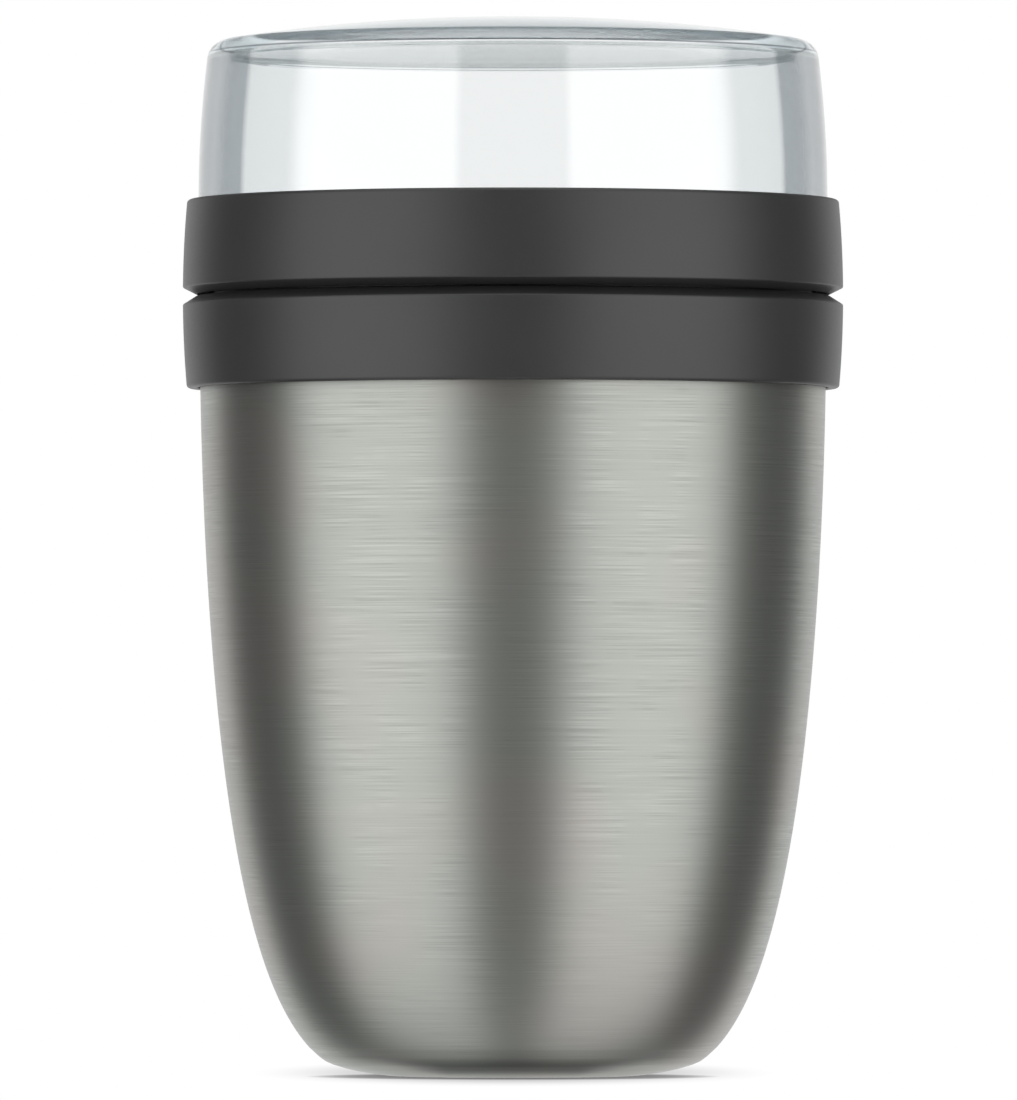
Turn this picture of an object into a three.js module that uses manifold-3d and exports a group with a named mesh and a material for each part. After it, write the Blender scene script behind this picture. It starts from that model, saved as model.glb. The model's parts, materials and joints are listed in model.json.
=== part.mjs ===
// Insulated lunch pot. A vacuum-walled steel pot carries a threaded collar, an insulated lid screws
// onto the collar, and a clear cup screws upside down into the top of the lid.
// Millimetres, +Z up, origin at the centre of the face that the pot stands on.
import * as THREE from "three";
import { mergeVertices } from "three/addons/utils/BufferGeometryUtils.js";
import Module from "manifold-3d";

const wasm = await Module();
wasm.setup();

// Fits
const FIT = 0.3; // between pieces that are assembled and stay put
const SEAL_GAP = 0.1; // above and below a silicone seal
const LID_THREAD_GAP = 0.6; // crest to root on the lid's thread
const CUP_THREAD_GAP = 0.4; // crest to root on the cup's thread
const FLANK_GAP = 0.3; // along the axis, between two engaged thread flanks

// Steel pot: two drawn shells with a vacuum between them
const SHEET = 0.6;
const BELLY_RADIUS = 50.8; // half-width of the belly's curve at the parting line
const PARTING_HEIGHT = 126.3; // standing face to the groove between the two dark rings
const POLE_DEPTH = 2; // how far under the standing face the belly's curve would close
const BELLY_POWER = 5.3; // squareness of the belly's curve, where 2 is a true ellipse
const VACUUM_GAP = 4;
const FOOT_RISE = 2.3; // height at which the belly turns in to the rounded underside
const STAND_SHARE = 0.56; // radius of the standing flat over the radius at that turn
const FOOT_WIDTH = 5; // flat ring that the pot stands on
const SHOULDER_RISE = 4.5; // height of the cone from the belly to the neck
const LIP_WIDTH = 2.5; // rim rolled outwards over the neck and the collar

// Base plate, its seal and the getter that keeps the vacuum
const COVER_SHEET = 0.4;
const COVER_SEAT = 1.6; // width of the plate's flange that the cover is bonded to
const DISH_SLOPE = 1.6; // width of the cone between the plate's flange and its dish
const DISH_RISE = 2.8;
const VENT_RADIUS = 2; // hole that the air is drawn out through
const BEAD_RADIUS = 3.2;
const BEAD_DROP = 1.1;
const CLIP_RADIUS = 2.5;
const CLIP_HEIGHT = 2.2;
const CLIP_SHEET = 0.4;
const CLIP_MARGIN = 0.6; // getter clip to the edge of the dish
const PELLET_HEIGHT = 1.4;
const CLIP_HEADROOM = 1.8; // getter clip to the bottom of the inner vessel

// Dark rings: the collar on the pot and the lid above it
const RING_OVERHANG = 2.7; // rings beyond the belly's curve
const RING_ARC = 170; // radius of the barrel curve down the rings' sides
const COLLAR_HEIGHT = 14.9;
const COLLAR_LAP = 1.6; // how far the collar reaches down over the belly
const GROOVE_DEPTH = 2.2;
const GROOVE_RISE = 1.4; // height of the chamfer on either side of the groove
const EDGE_ROUND = 0.6;
const GASKET = 1.2;
const SKIRT_WALL = 2.6;
const NECK_WALL = 1.1;
const SOCKET_WALL = 1.5; // lid's wall round the cup
const LID_FLOOR = 2;

// Lid's underside and the two seals
const PLUG_DEPTH = 11;
const PLUG_WALL = 1.6;
const PLUG_GAP = 1.6; // plug to the wall of the mouth
const PLUG_CHAMFER = 1.5;
const PLUG_BEAD = 0.9; // ring on the plug that keeps the seal on
const POT_SEAL = 1.2;
const SEAL_LAP = 0.3; // seal beyond the rolled lip
const KEEPER_WIDTH = 0.9; // rib round the outside of the pot seal
const KEEPER_DROP = 0.9;
const CUP_SEAL = 1;
const SEAL_RIB_WIDTH = 1;
const SEAL_RIB_HEIGHT = 1;

// Screw threads: several starts, each one short ridge. Both are right-handed with the same lead.
const LEAD = 18; // rise in one full turn
const STARTS = 4;
const LID_RIDGE = 1.4; // thickness along the axis
const LID_RIDGE_DEPTH = 1.9;
const NECK_RIDGE_ARC = 60; // degrees
const LID_LUG_ARC = 32;
const LID_LUG_START = 24; // how far along the neck's ridge the lid's lug starts, in degrees
const THREAD_LAND = 0.6; // plain neck under the lowest ridge
const THREAD_LEAD_IN = 0.2; // plain neck over the highest ridge
const CUP_RIDGE = 1;
const CUP_RIDGE_OVERLAP = 0.8; // how deep the cup's ridges catch behind the lid's
const CUP_RIDGE_ARC = 40;
const CUP_LUG_ARC = 25;
const CUP_LUG_START = 5;
const CUP_LAP = 0.4; // cup's full width below the top of the lid
const RIDGE_EMBED = 0.4; // depth that a ridge is rooted in its wall
const RIDGE_STEP = 5; // degrees between two sections of a ridge

// Clear cup
const CUP_HEIGHT = 25.9; // lid's top to the top of the rounded corner
const CUP_WALL = 3.6;
const CUP_TOP = 2.6;
const CUP_ARC = 185; // radius of the curve up the cup's side
const CUP_CORNER = 3.4;
const CUP_INNER_CORNER = 0.8;
const CROWN = 3.5; // middle of the top above its corner

// Facets
const FACETS = 40; // round each large piece
const SMALL_FACETS = 16; // round the pieces inside the base
const FOOT_STEPS = 4;
const SHELL_STEPS = 10;
const VESSEL_STEPS = 8;
const BELLY_CROWDING = 2.2; // gathers the steps towards the tight curve at the foot
const BARREL_STEPS = 3;
const CORNER_STEPS = 3;
const CROWN_STEPS = 3;

// Radii, from the belly inwards
const ringRadius = BELLY_RADIUS + RING_OVERHANG;
const grooveRadius = ringRadius - GROOVE_DEPTH;
const skirtBore = ringRadius - SKIRT_WALL;
const neckCrest = skirtBore - LID_THREAD_GAP;
const neckRoot = neckCrest - LID_RIDGE_DEPTH;
const lidLugCrest = neckRoot + LID_THREAD_GAP;
const collarBore = neckRoot - NECK_WALL;
const shellNeck = collarBore - FIT;
const shellNeckBore = shellNeck - SHEET;
const vesselNeck = shellNeckBore - FIT;
const mouthRadius = vesselNeck - SHEET;
const lipRadius = mouthRadius + LIP_WIDTH;
const plugRadius = mouthRadius - PLUG_GAP;
const plugBore = plugRadius - PLUG_WALL;

// Heights, from the parting line upwards
const collarBottom = PARTING_HEIGHT - COLLAR_HEIGHT;
const shoulderLow = collarBottom + COLLAR_LAP;
const shoulderHigh = shoulderLow + SHOULDER_RISE;
const skirtBottom = PARTING_HEIGHT + FIT;
const neckRidgeLow = skirtBottom + THREAD_LAND;
const collarTop = neckRidgeLow + rise(NECK_RIDGE_ARC) + LID_RIDGE + THREAD_LEAD_IN;
const lipUnder = collarTop + SEAL_GAP;
const rimTop = lipUnder + SHEET;
const potSealLow = rimTop + SEAL_GAP;
const potSealHigh = potSealLow + POT_SEAL;
const floorUnder = potSealHigh + SEAL_GAP;
const floorTop = floorUnder + LID_FLOOR;
const cupSealLow = floorTop + SEAL_GAP;
const cupSealHigh = cupSealLow + CUP_SEAL;
const cupRim = cupSealHigh + SEAL_GAP;
const cupRidgeLow = cupRim + FIT;
const cupLugLow = cupRidgeLow + CUP_RIDGE + FLANK_GAP + rise(CUP_LUG_START);
const cupLugTop = cupLugLow + rise(CUP_LUG_ARC) + CUP_RIDGE;
const cupRidgeTop = cupRidgeLow + rise(CUP_RIDGE_ARC) + CUP_RIDGE;
const cupShoulder = Math.max(cupLugTop, cupRidgeTop) + FIT;
const lidTop = cupShoulder + CUP_LAP;
const cornerLow = lidTop + CUP_HEIGHT - CUP_CORNER;
const plugBottom = floorUnder - PLUG_DEPTH;

// Cup's radii, from the lid's top edge inwards
const socketBore = barrelRadius(lidTop - PARTING_HEIGHT) - SOCKET_WALL;
const cupRadius = socketBore - FIT;
const cupRidgeCrest = socketBore - CUP_THREAD_GAP;
const cupLugCrest = cupRidgeCrest - CUP_RIDGE_OVERLAP;
const cupSpigot = cupLugCrest - CUP_THREAD_GAP;
const cupBore = cupRadius - CUP_WALL;
const sealRibRadius = (cupBore + cupSpigot) / 2;

// Base, from the foot inwards and upwards
const footEdge = bellyRadius(FOOT_RISE);
const standRadius = footEdge * STAND_SHARE;
const footTurn = footEdge - standRadius;
const footArc = (footTurn ** 2 + FOOT_RISE ** 2) / (2 * FOOT_RISE);
const footAngle = THREE.MathUtils.radToDeg(Math.asin(footTurn / footArc));
const footBore = standRadius - FOOT_WIDTH;
const coverRadius = footBore - FIT;
const slopeFoot = coverRadius - COVER_SEAT;
const dishRadius = slopeFoot - DISH_SLOPE;
const dishUnder = SHEET + DISH_RISE;
const dishTop = dishUnder + SHEET;
const clipOffset = dishRadius - CLIP_RADIUS - CLIP_MARGIN;
const vesselFloor = dishTop + CLIP_HEIGHT + CLIP_HEADROOM;

// Rise of either thread over an angle in degrees.
function rise(angle) {
  return (LEAD * angle) / 360;
}

// Radius of the pot's outside at a height, or of the inside of its sheet with an inset.
function bellyRadius(height, inset = 0) {
  const along = (PARTING_HEIGHT - height) / (PARTING_HEIGHT + POLE_DEPTH - inset);
  return (BELLY_RADIUS - inset) * (1 - along ** 2) ** (1 / BELLY_POWER);
}

// Radius of the inner vessel's outside, which closes on the axis at its floor.
function vesselRadius(height, inset = 0) {
  const along = (PARTING_HEIGHT - height) / (PARTING_HEIGHT - vesselFloor - inset);
  const widest = BELLY_RADIUS - SHEET - VACUUM_GAP - inset;
  return widest * Math.max(0, 1 - along ** 2) ** (1 / BELLY_POWER);
}

// Radius of a dark ring's side at a distance above or below the parting line.
function barrelRadius(away) {
  return ringRadius - away ** 2 / (2 * RING_ARC);
}

// Radius of the cup's side at a height.
function cupSide(height) {
  return cupRadius - (height - lidTop) ** 2 / (2 * CUP_ARC);
}

// Height of the shell's shoulder cone at a radius, carried on past both of its ends.
function shoulderHeight(radius) {
  const outwards = (radius - shellNeck) / (bellyRadius(shoulderLow) - shellNeck);
  return shoulderHigh - SHOULDER_RISE * outwards;
}

// Profile points from one height to another, where radiusAt gives the radius at each height.
// A crowding above 1 gathers the points towards the first height.
function sidePoints(radiusAt, from, to, steps, crowding = 1) {
  return Array.from({ length: steps + 1 }, (_, i) => {
    const height = from + (to - from) * (i / steps) ** crowding;
    return [radiusAt(height), height];
  });
}

// Profile points along a circular arc. Angles are in degrees from straight outwards.
function arcPoints(radius, height, size, from, to, steps) {
  return Array.from({ length: steps + 1 }, (_, i) => {
    const angle = THREE.MathUtils.degToRad(from + ((to - from) * i) / steps);
    return [radius + size * Math.cos(angle), height + size * Math.sin(angle)];
  });
}

// A profile of [radius, height] points turned about Z. It runs anticlockwise, and either closes on
// itself or starts and ends on the axis.
function turned(profile, facets = FACETS) {
  const points = profile.map(([radius, height]) => new THREE.Vector2(radius, height));
  if (profile[0][0] > 0) points.push(points[0].clone());
  return new THREE.LatheGeometry(points, facets).rotateX(Math.PI / 2);
}

// A closed geometry as a solid that can be joined to others.
function solidOf(geometry) {
  const bare = geometry.clone().deleteAttribute("normal").deleteAttribute("uv");
  const merged = mergeVertices(bare);
  const corners = merged.getIndex().array;
  const kept = [];
  for (let i = 0; i < corners.length; i += 3) {
    const [a, b, c] = corners.slice(i, i + 3);
    if (a !== b && b !== c && c !== a) kept.push(a, b, c);
  }
  const vertProperties = merged.getAttribute("position").array;
  return new wasm.Manifold(new wasm.Mesh({ numProp: 3, vertProperties, triVerts: new Uint32Array(kept) }));
}

// A solid as a geometry that a mesh can show.
function geometryOf(solid) {
  const { vertProperties, triVerts } = solid.getMesh();
  const geometry = new THREE.BufferGeometry();
  geometry.setAttribute("position", new THREE.BufferAttribute(vertProperties, 3));
  return geometry.setIndex(new THREE.BufferAttribute(triVerts, 1));
}

// One ridge of a thread: a bar with a trapezoid section, half as thick at the crest as at the root,
// bent along the helix and tapered over its first and last step. root and crest are radii, low is the
// height of the underside at the lower end, and start is that end's angle.
function threadRidge({ root, crest, low, thickness, arc, start }) {
  const depth = crest - root;
  const embed = Math.sign(depth) * RIDGE_EMBED;
  const section = new THREE.Shape([
    new THREE.Vector2(-embed, 0),
    new THREE.Vector2(depth, thickness / 4),
    new THREE.Vector2(depth, (thickness * 3) / 4),
    new THREE.Vector2(-embed, thickness),
  ]);
  const steps = Math.ceil(arc / RIDGE_STEP);
  const bar = new THREE.ExtrudeGeometry(section, { depth: arc, steps, bevelEnabled: false });
  const point = bar.getAttribute("position");
  for (let i = 0; i < point.count; i++) {
    const along = arc - point.getZ(i);
    const taper = Math.min(1, (along * steps) / arc, ((arc - along) * steps) / arc);
    const out = point.getX(i);
    const onCrest = Math.sign(out) === Math.sign(depth);
    const radius = root + (onCrest ? out * taper : out);
    const angle = THREE.MathUtils.degToRad(start + along);
    const height = low + rise(along) + point.getY(i);
    point.setXYZ(i, radius * Math.cos(angle), radius * Math.sin(angle), height);
  }
  return solidOf(bar);
}

// A turned piece with each of its ridges repeated at every start of the thread.
function threaded(profile, ...ridges) {
  let solid = solidOf(turned(profile));
  for (const ridge of ridges) {
    for (let i = 0; i < STARTS; i++) {
      const start = ridge.start + (360 * i) / STARTS;
      solid = solid.add(threadRidge({ ...ridge, start }));
    }
  }
  return geometryOf(solid);
}

// Outer wall: the brushed belly, its rounded underside turned in to the standing flat, and the
// narrow neck.
function outerShell() {
  const insideRadius = (height) => bellyRadius(height, SHEET);
  const insideLow = FOOT_RISE + SHEET;
  const outside = sidePoints(bellyRadius, FOOT_RISE, shoulderLow, SHELL_STEPS, BELLY_CROWDING);
  const inside = sidePoints(insideRadius, insideLow, shoulderLow, SHELL_STEPS, BELLY_CROWDING);
  const turnEnd = footAngle - 90;
  return turned([
    [footBore, 0],
    ...arcPoints(standRadius, footArc, footArc, -90, turnEnd, FOOT_STEPS).slice(0, -1),
    ...outside,
    [shellNeck, shoulderHigh],
    [shellNeck, lipUnder],
    [shellNeckBore, lipUnder],
    [shellNeckBore, shoulderHigh],
    ...inside.reverse(),
    ...arcPoints(standRadius, footArc, footArc - SHEET, turnEnd, -90, FOOT_STEPS).slice(1),
    [footBore, SHEET],
  ]);
}

// Inner wall: one deep-drawn cup with its rim rolled out over the neck.
function innerVessel() {
  const insideRadius = (height) => vesselRadius(height, SHEET);
  const insideFloor = vesselFloor + SHEET;
  const outside = sidePoints(vesselRadius, vesselFloor, shoulderLow, VESSEL_STEPS, BELLY_CROWDING);
  const inside = sidePoints(insideRadius, insideFloor, shoulderLow, VESSEL_STEPS, BELLY_CROWDING);
  return turned([
    ...outside,
    [vesselNeck, shoulderHigh],
    [vesselNeck, lipUnder],
    [lipRadius, lipUnder],
    [lipRadius, rimTop],
    [mouthRadius, rimTop],
    [mouthRadius, shoulderHigh],
    ...inside.reverse(),
  ]);
}

// Plate that closes the vacuum space, dished to make room for the sealing bead.
function basePlate() {
  const flange = standRadius - FIT;
  return turned([
    [VENT_RADIUS, dishUnder],
    [dishRadius, dishUnder],
    [slopeFoot, SHEET],
    [flange, SHEET],
    [flange, 2 * SHEET],
    [slopeFoot, 2 * SHEET],
    [dishRadius, dishTop],
    [VENT_RADIUS, dishTop],
  ]);
}

// Drop of solder glass that seals the vent.
function sealBead() {
  const stem = VENT_RADIUS - FIT;
  const profile = [
    [0, dishUnder - BEAD_DROP],
    [BEAD_RADIUS * Math.SQRT1_2, dishUnder - BEAD_DROP * Math.SQRT1_2],
    [BEAD_RADIUS, dishUnder],
    [stem, dishUnder],
    [stem, dishTop],
    [0, dishTop],
  ];
  return turned(profile, SMALL_FACETS);
}

// Thin disc that hides the bead, set just above the standing face.
function baseCover() {
  const under = SHEET - COVER_SHEET;
  return turned([
    [0, under],
    [coverRadius, under],
    [coverRadius, SHEET],
    [0, SHEET],
  ]);
}

// Small pan welded to the base plate, inside the vacuum.
function getterClip() {
  const bore = CLIP_RADIUS - CLIP_SHEET;
  const profile = [
    [0, 0],
    [CLIP_RADIUS, 0],
    [CLIP_RADIUS, CLIP_HEIGHT],
    [bore, CLIP_HEIGHT],
    [bore, CLIP_SHEET],
    [0, CLIP_SHEET],
  ];
  return turned(profile, SMALL_FACETS);
}

// Pellet in the pan that takes up stray gas.
function getterPellet() {
  const radius = CLIP_RADIUS - CLIP_SHEET - FIT;
  const top = CLIP_SHEET + PELLET_HEIGHT;
  const profile = [
    [0, CLIP_SHEET],
    [radius, CLIP_SHEET],
    [radius, top],
    [0, top],
  ];
  return turned(profile, SMALL_FACETS);
}

// Lower dark ring, with the threaded neck that the lid screws onto.
function potCollar() {
  const side = (height) => barrelRadius(PARTING_HEIGHT - height);
  const edgeRadius = barrelRadius(COLLAR_HEIGHT) - EDGE_ROUND;
  const edgeHeight = collarBottom + EDGE_ROUND;
  const sideLow = edgeHeight + EDGE_ROUND;
  const skirt = bellyRadius(shoulderLow) + FIT;
  const overGasket = FIT + GASKET + FIT;
  const profile = [
    [skirt, collarBottom],
    ...arcPoints(edgeRadius, edgeHeight, EDGE_ROUND, -90, 0, CORNER_STEPS),
    ...sidePoints(side, sideLow, PARTING_HEIGHT - GROOVE_RISE, BARREL_STEPS),
    [grooveRadius, PARTING_HEIGHT],
    [neckRoot, PARTING_HEIGHT],
    [neckRoot, collarTop],
    [collarBore, collarTop],
    [collarBore, shoulderHeight(collarBore) + overGasket],
    [skirt, shoulderHeight(skirt) + overGasket],
  ];
  return threaded(profile, {
    root: neckRoot,
    crest: neckCrest,
    low: neckRidgeLow,
    thickness: LID_RIDGE,
    arc: NECK_RIDGE_ARC,
    start: 0,
  });
}

// Silicone ring between the collar and the shell's shoulder.
function collarGasket() {
  const outer = bellyRadius(shoulderLow);
  const under = (radius) => shoulderHeight(radius) + FIT;
  return turned([
    [collarBore, under(collarBore)],
    [outer, under(outer)],
    [outer, under(outer) + GASKET],
    [collarBore, under(collarBore) + GASKET],
  ]);
}

// Upper dark ring and the lid's floor in one moulding. Ridges inside the skirt take the neck, and
// ridges inside the socket take the cup.
function lidRing() {
  const side = (height) => barrelRadius(height - PARTING_HEIGHT);
  const edgeRadius = side(lidTop) - EDGE_ROUND;
  const edgeHeight = lidTop - EDGE_ROUND;
  const keeperBore = lipRadius + SEAL_LAP + FIT;
  const keeperRadius = keeperBore + KEEPER_WIDTH;
  const keeperLow = floorUnder - KEEPER_DROP;
  const profile = [
    [0, floorUnder],
    [keeperBore, floorUnder],
    [keeperBore, keeperLow],
    [keeperRadius, keeperLow],
    [keeperRadius, floorUnder],
    [skirtBore, floorUnder],
    [skirtBore, skirtBottom],
    [grooveRadius, skirtBottom],
    ...sidePoints(side, PARTING_HEIGHT + GROOVE_RISE, edgeHeight - EDGE_ROUND, BARREL_STEPS),
    ...arcPoints(edgeRadius, edgeHeight, EDGE_ROUND, 0, 90, CORNER_STEPS),
    [socketBore, lidTop],
    [socketBore, floorTop],
    [0, floorTop],
  ];
  const neckLug = {
    root: skirtBore,
    crest: lidLugCrest,
    low: neckRidgeLow + rise(LID_LUG_START) - FLANK_GAP - LID_RIDGE,
    thickness: LID_RIDGE,
    arc: LID_LUG_ARC,
    start: LID_LUG_START,
  };
  const cupLug = {
    root: socketBore,
    crest: cupLugCrest,
    low: cupLugLow,
    thickness: CUP_RIDGE,
    arc: CUP_LUG_ARC,
    start: CUP_LUG_START,
  };
  return threaded(profile, neckLug, cupLug);
}

// Dish under the lid that holds the insulation and plugs the mouth.
function lidPlug() {
  const beadTop = potSealLow - SEAL_GAP;
  return turned([
    [0, plugBottom],
    [plugRadius - PLUG_CHAMFER, plugBottom],
    [plugRadius, plugBottom + PLUG_CHAMFER],
    [plugRadius, beadTop - PLUG_BEAD],
    [plugRadius + PLUG_BEAD, beadTop],
    [plugRadius, beadTop],
    [plugRadius, floorUnder],
    [plugBore, floorUnder],
    [plugBore, plugBottom + PLUG_WALL],
    [0, plugBottom + PLUG_WALL],
  ]);
}

// Foam that fills the plug.
function insulationDisc() {
  const radius = plugBore - FIT;
  const under = plugBottom + PLUG_WALL;
  return turned([
    [0, under],
    [radius, under],
    [radius, floorUnder],
    [0, floorUnder],
  ]);
}

// Flat silicone ring that the lid presses onto the rolled rim.
function potSeal() {
  const bore = plugRadius + FIT;
  const outer = lipRadius + SEAL_LAP;
  return turned([
    [bore, potSealLow],
    [outer, potSealLow],
    [outer, potSealHigh],
    [bore, potSealHigh],
  ]);
}

// Silicone ring under the cup's rim, with a rib that holds it in the rim's groove.
function cupSeal() {
  const ribIn = sealRibRadius - SEAL_RIB_WIDTH / 2;
  const ribOut = sealRibRadius + SEAL_RIB_WIDTH / 2;
  const ribTop = cupSealHigh + SEAL_RIB_HEIGHT;
  return turned([
    [cupBore, cupSealLow],
    [cupSpigot, cupSealLow],
    [cupSpigot, cupSealHigh],
    [ribOut, cupSealHigh],
    [ribOut, ribTop],
    [ribIn, ribTop],
    [ribIn, cupSealHigh],
    [cupBore, cupSealHigh],
  ]);
}

// Clear cup, standing on its rim: curved wall, rounded corner and a shallow crown that meets the
// corner smoothly. The inside keeps the wall's and the top's own thickness.
function clearCup() {
  const corner = cupSide(cornerLow) - CUP_CORNER;
  const apexOverCorner = CUP_CORNER + CROWN;
  const crownRadius = (corner ** 2 + apexOverCorner ** 2 - CUP_CORNER ** 2) / (2 * CROWN);
  const crownCentre = cornerLow + apexOverCorner - crownRadius;
  const edge = THREE.MathUtils.radToDeg(Math.acos(corner / (crownRadius - CUP_CORNER)));

  const ceilingRadius = crownRadius - CUP_TOP;
  const innerCorner = cupSide(cornerLow) - CUP_WALL - CUP_INNER_CORNER;
  const innerEdge = THREE.MathUtils.radToDeg(Math.acos(innerCorner / (ceilingRadius - CUP_INNER_CORNER)));
  const innerCornerLow = crownCentre + innerCorner * Math.tan(THREE.MathUtils.degToRad(innerEdge));
  const insideRadius = (height) => cupSide(height) - CUP_WALL;
  const inside = sidePoints(insideRadius, lidTop, innerCornerLow, BARREL_STEPS).slice(0, -1);

  const grooveIn = sealRibRadius - SEAL_RIB_WIDTH / 2 - FIT;
  const grooveOut = sealRibRadius + SEAL_RIB_WIDTH / 2 + FIT;
  const grooveTop = cupRim + SEAL_RIB_HEIGHT + FIT;
  const profile = [
    ...arcPoints(0, crownCentre, ceilingRadius, 90, innerEdge, CROWN_STEPS).slice(0, -1),
    ...arcPoints(innerCorner, innerCornerLow, CUP_INNER_CORNER, innerEdge, 0, CORNER_STEPS),
    ...inside.reverse(),
    [cupBore, cupRim],
    [grooveIn, cupRim],
    [grooveIn, grooveTop],
    [grooveOut, grooveTop],
    [grooveOut, cupRim],
    [cupSpigot, cupRim],
    [cupSpigot, cupShoulder],
    [cupRadius, cupShoulder],
    ...sidePoints(cupSide, lidTop, cornerLow, BARREL_STEPS),
    ...arcPoints(corner, cornerLow, CUP_CORNER, 0, edge, CORNER_STEPS).slice(1),
    ...arcPoints(0, crownCentre, crownRadius, edge, 90, CROWN_STEPS).slice(1),
  ];
  profile[0][0] = 0;
  profile.at(-1)[0] = 0;
  return threaded(profile, {
    root: cupSpigot,
    crest: cupRidgeCrest,
    low: cupRidgeLow,
    thickness: CUP_RIDGE,
    arc: CUP_RIDGE_ARC,
    start: 0,
  });
}

// Finishes
const brushedSteel = { color: 0xb4b5b0, roughness: 0.35, metalness: 1 };
const polishedSteel = { color: 0xc4c5c3, roughness: 0.2, metalness: 1 };
const darkPlastic = { color: 0x3f3f40, roughness: 0.5, metalness: 0 };
const silicone = { color: 0xd9d9d6, roughness: 0.6, metalness: 0 };
const foam = { color: 0xf0efea, roughness: 0.9, metalness: 0 };
const solderGlass = { color: 0x6f6a60, roughness: 0.3, metalness: 0 };
const getterMetal = { color: 0x55565a, roughness: 0.7, metalness: 0.6 };
const clearPlastic = { color: 0xdfe8ea, roughness: 0.05, metalness: 0, transparent: true, opacity: 0.3 };

function piece(name, geometry, finish) {
  const mesh = new THREE.Mesh(geometry, new THREE.MeshStandardMaterial(finish));
  mesh.name = name;
  return mesh;
}

const getter = new THREE.Group();
getter.position.set(clipOffset, 0, dishTop);
getter.add(piece("getter_clip", getterClip(), polishedSteel));
getter.add(piece("getter_pellet", getterPellet(), getterMetal));

const pot = new THREE.Group();
pot.add(piece("outer_shell", outerShell(), brushedSteel));
pot.add(piece("inner_vessel", innerVessel(), polishedSteel));
pot.add(piece("base_plate", basePlate(), polishedSteel));
pot.add(piece("seal_bead", sealBead(), solderGlass));
pot.add(piece("base_cover", baseCover(), brushedSteel));
pot.add(piece("pot_collar", potCollar(), darkPlastic));
pot.add(piece("collar_gasket", collarGasket(), silicone));
pot.add(getter);

const lid = new THREE.Group();
lid.add(piece("lid_ring", lidRing(), darkPlastic));
lid.add(piece("lid_plug", lidPlug(), darkPlastic));
lid.add(piece("insulation_disc", insulationDisc(), foam));
lid.add(piece("pot_seal", potSeal(), silicone));

const cup = new THREE.Group();
cup.add(piece("clear_cup", clearCup(), clearPlastic));
cup.add(piece("cup_seal", cupSeal(), silicone));

const lunchPot = new THREE.Group();
lunchPot.add(pot, lid, cup);

export default lunchPot;
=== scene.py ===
"""Looks of the insulated lunch pot.

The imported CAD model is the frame. Smooth turned pieces stand for its faceted ones, every finish is made of
nodes, and a light tent with a camera shows the pot. Sizes are in millimetres and become metres where a mesh
or a pattern is made. +Z is up, and the camera looks along +Y.
"""

import json
import logging
import math
from collections.abc import Callable, Iterable
from dataclasses import dataclass, field
from enum import Enum
from typing import Any, ClassVar

import bpy
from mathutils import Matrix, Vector


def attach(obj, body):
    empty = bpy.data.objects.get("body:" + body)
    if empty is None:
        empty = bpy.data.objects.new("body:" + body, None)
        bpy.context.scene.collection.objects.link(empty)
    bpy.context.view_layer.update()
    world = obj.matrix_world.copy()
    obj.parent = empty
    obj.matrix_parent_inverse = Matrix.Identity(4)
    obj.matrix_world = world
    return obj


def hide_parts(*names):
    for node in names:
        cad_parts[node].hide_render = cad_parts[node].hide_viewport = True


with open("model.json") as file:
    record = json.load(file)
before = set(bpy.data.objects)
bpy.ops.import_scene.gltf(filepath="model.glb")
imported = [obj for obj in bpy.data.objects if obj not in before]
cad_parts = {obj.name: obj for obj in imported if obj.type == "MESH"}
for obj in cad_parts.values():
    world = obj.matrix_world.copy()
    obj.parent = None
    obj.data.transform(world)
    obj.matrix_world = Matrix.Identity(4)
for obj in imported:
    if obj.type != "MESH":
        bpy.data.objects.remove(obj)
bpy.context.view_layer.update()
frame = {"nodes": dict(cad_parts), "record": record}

MM = 0.001
LOG = logging.getLogger("lunch_pot")


def linear(colour: str) -> tuple[float, float, float, float]:
    """Turn an sRGB colour into linear light.

    Args:
        colour: Six hex digits.

    Returns:
        Red, green, blue and alpha.
    """
    shares = [int(colour[i : i + 2], 16) / 255 for i in (0, 2, 4)]
    red, green, blue = [s / 12.92 if s <= 0.04045 else ((s + 0.055) / 1.055) ** 2.4 for s in shares]
    return red, green, blue, 1.0


def add_node(
    tree: bpy.types.NodeTree, kind: str, inputs: dict[str | int, Any] | None = None, **settings: Any
) -> bpy.types.Node:
    """Add one node with its settings, values and links.

    Args:
        tree: Tree that gets the node.
        kind: Blender's type name of the node.
        inputs: Socket name or index, and the value or the output that goes into it.
        settings: Properties of the node itself.

    Returns:
        The new node.
    """
    node = tree.nodes.new(kind)
    for name, value in settings.items():
        setattr(node, name, value)
    for key, value in (inputs or {}).items():
        if isinstance(value, bpy.types.NodeSocket):
            tree.links.new(value, node.inputs[key])
        else:
            node.inputs[key].default_value = value
    return node


def off_axis(
    tree: bpy.types.NodeTree, position: bpy.types.NodeSocket
) -> tuple[bpy.types.NodeSocket, bpy.types.NodeSocket]:
    """Measure how far a point is from the pot's axis.

    Args:
        tree: Tree that gets the nodes.
        position: The point.

    Returns:
        The way out to the point from the axis, and its length.
    """
    flat = add_node(
        tree, "ShaderNodeVectorMath", {0: position, 1: (1.0, 1.0, 0.0)}, operation="MULTIPLY"
    ).outputs[0]
    return flat, add_node(tree, "ShaderNodeVectorMath", {0: flat}, operation="LENGTH").outputs["Value"]


class Blur(Enum):
    """How a value goes from one end of a range to the other."""

    EVEN = "LINEAR"
    SOFT = "SMOOTHSTEP"


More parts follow.
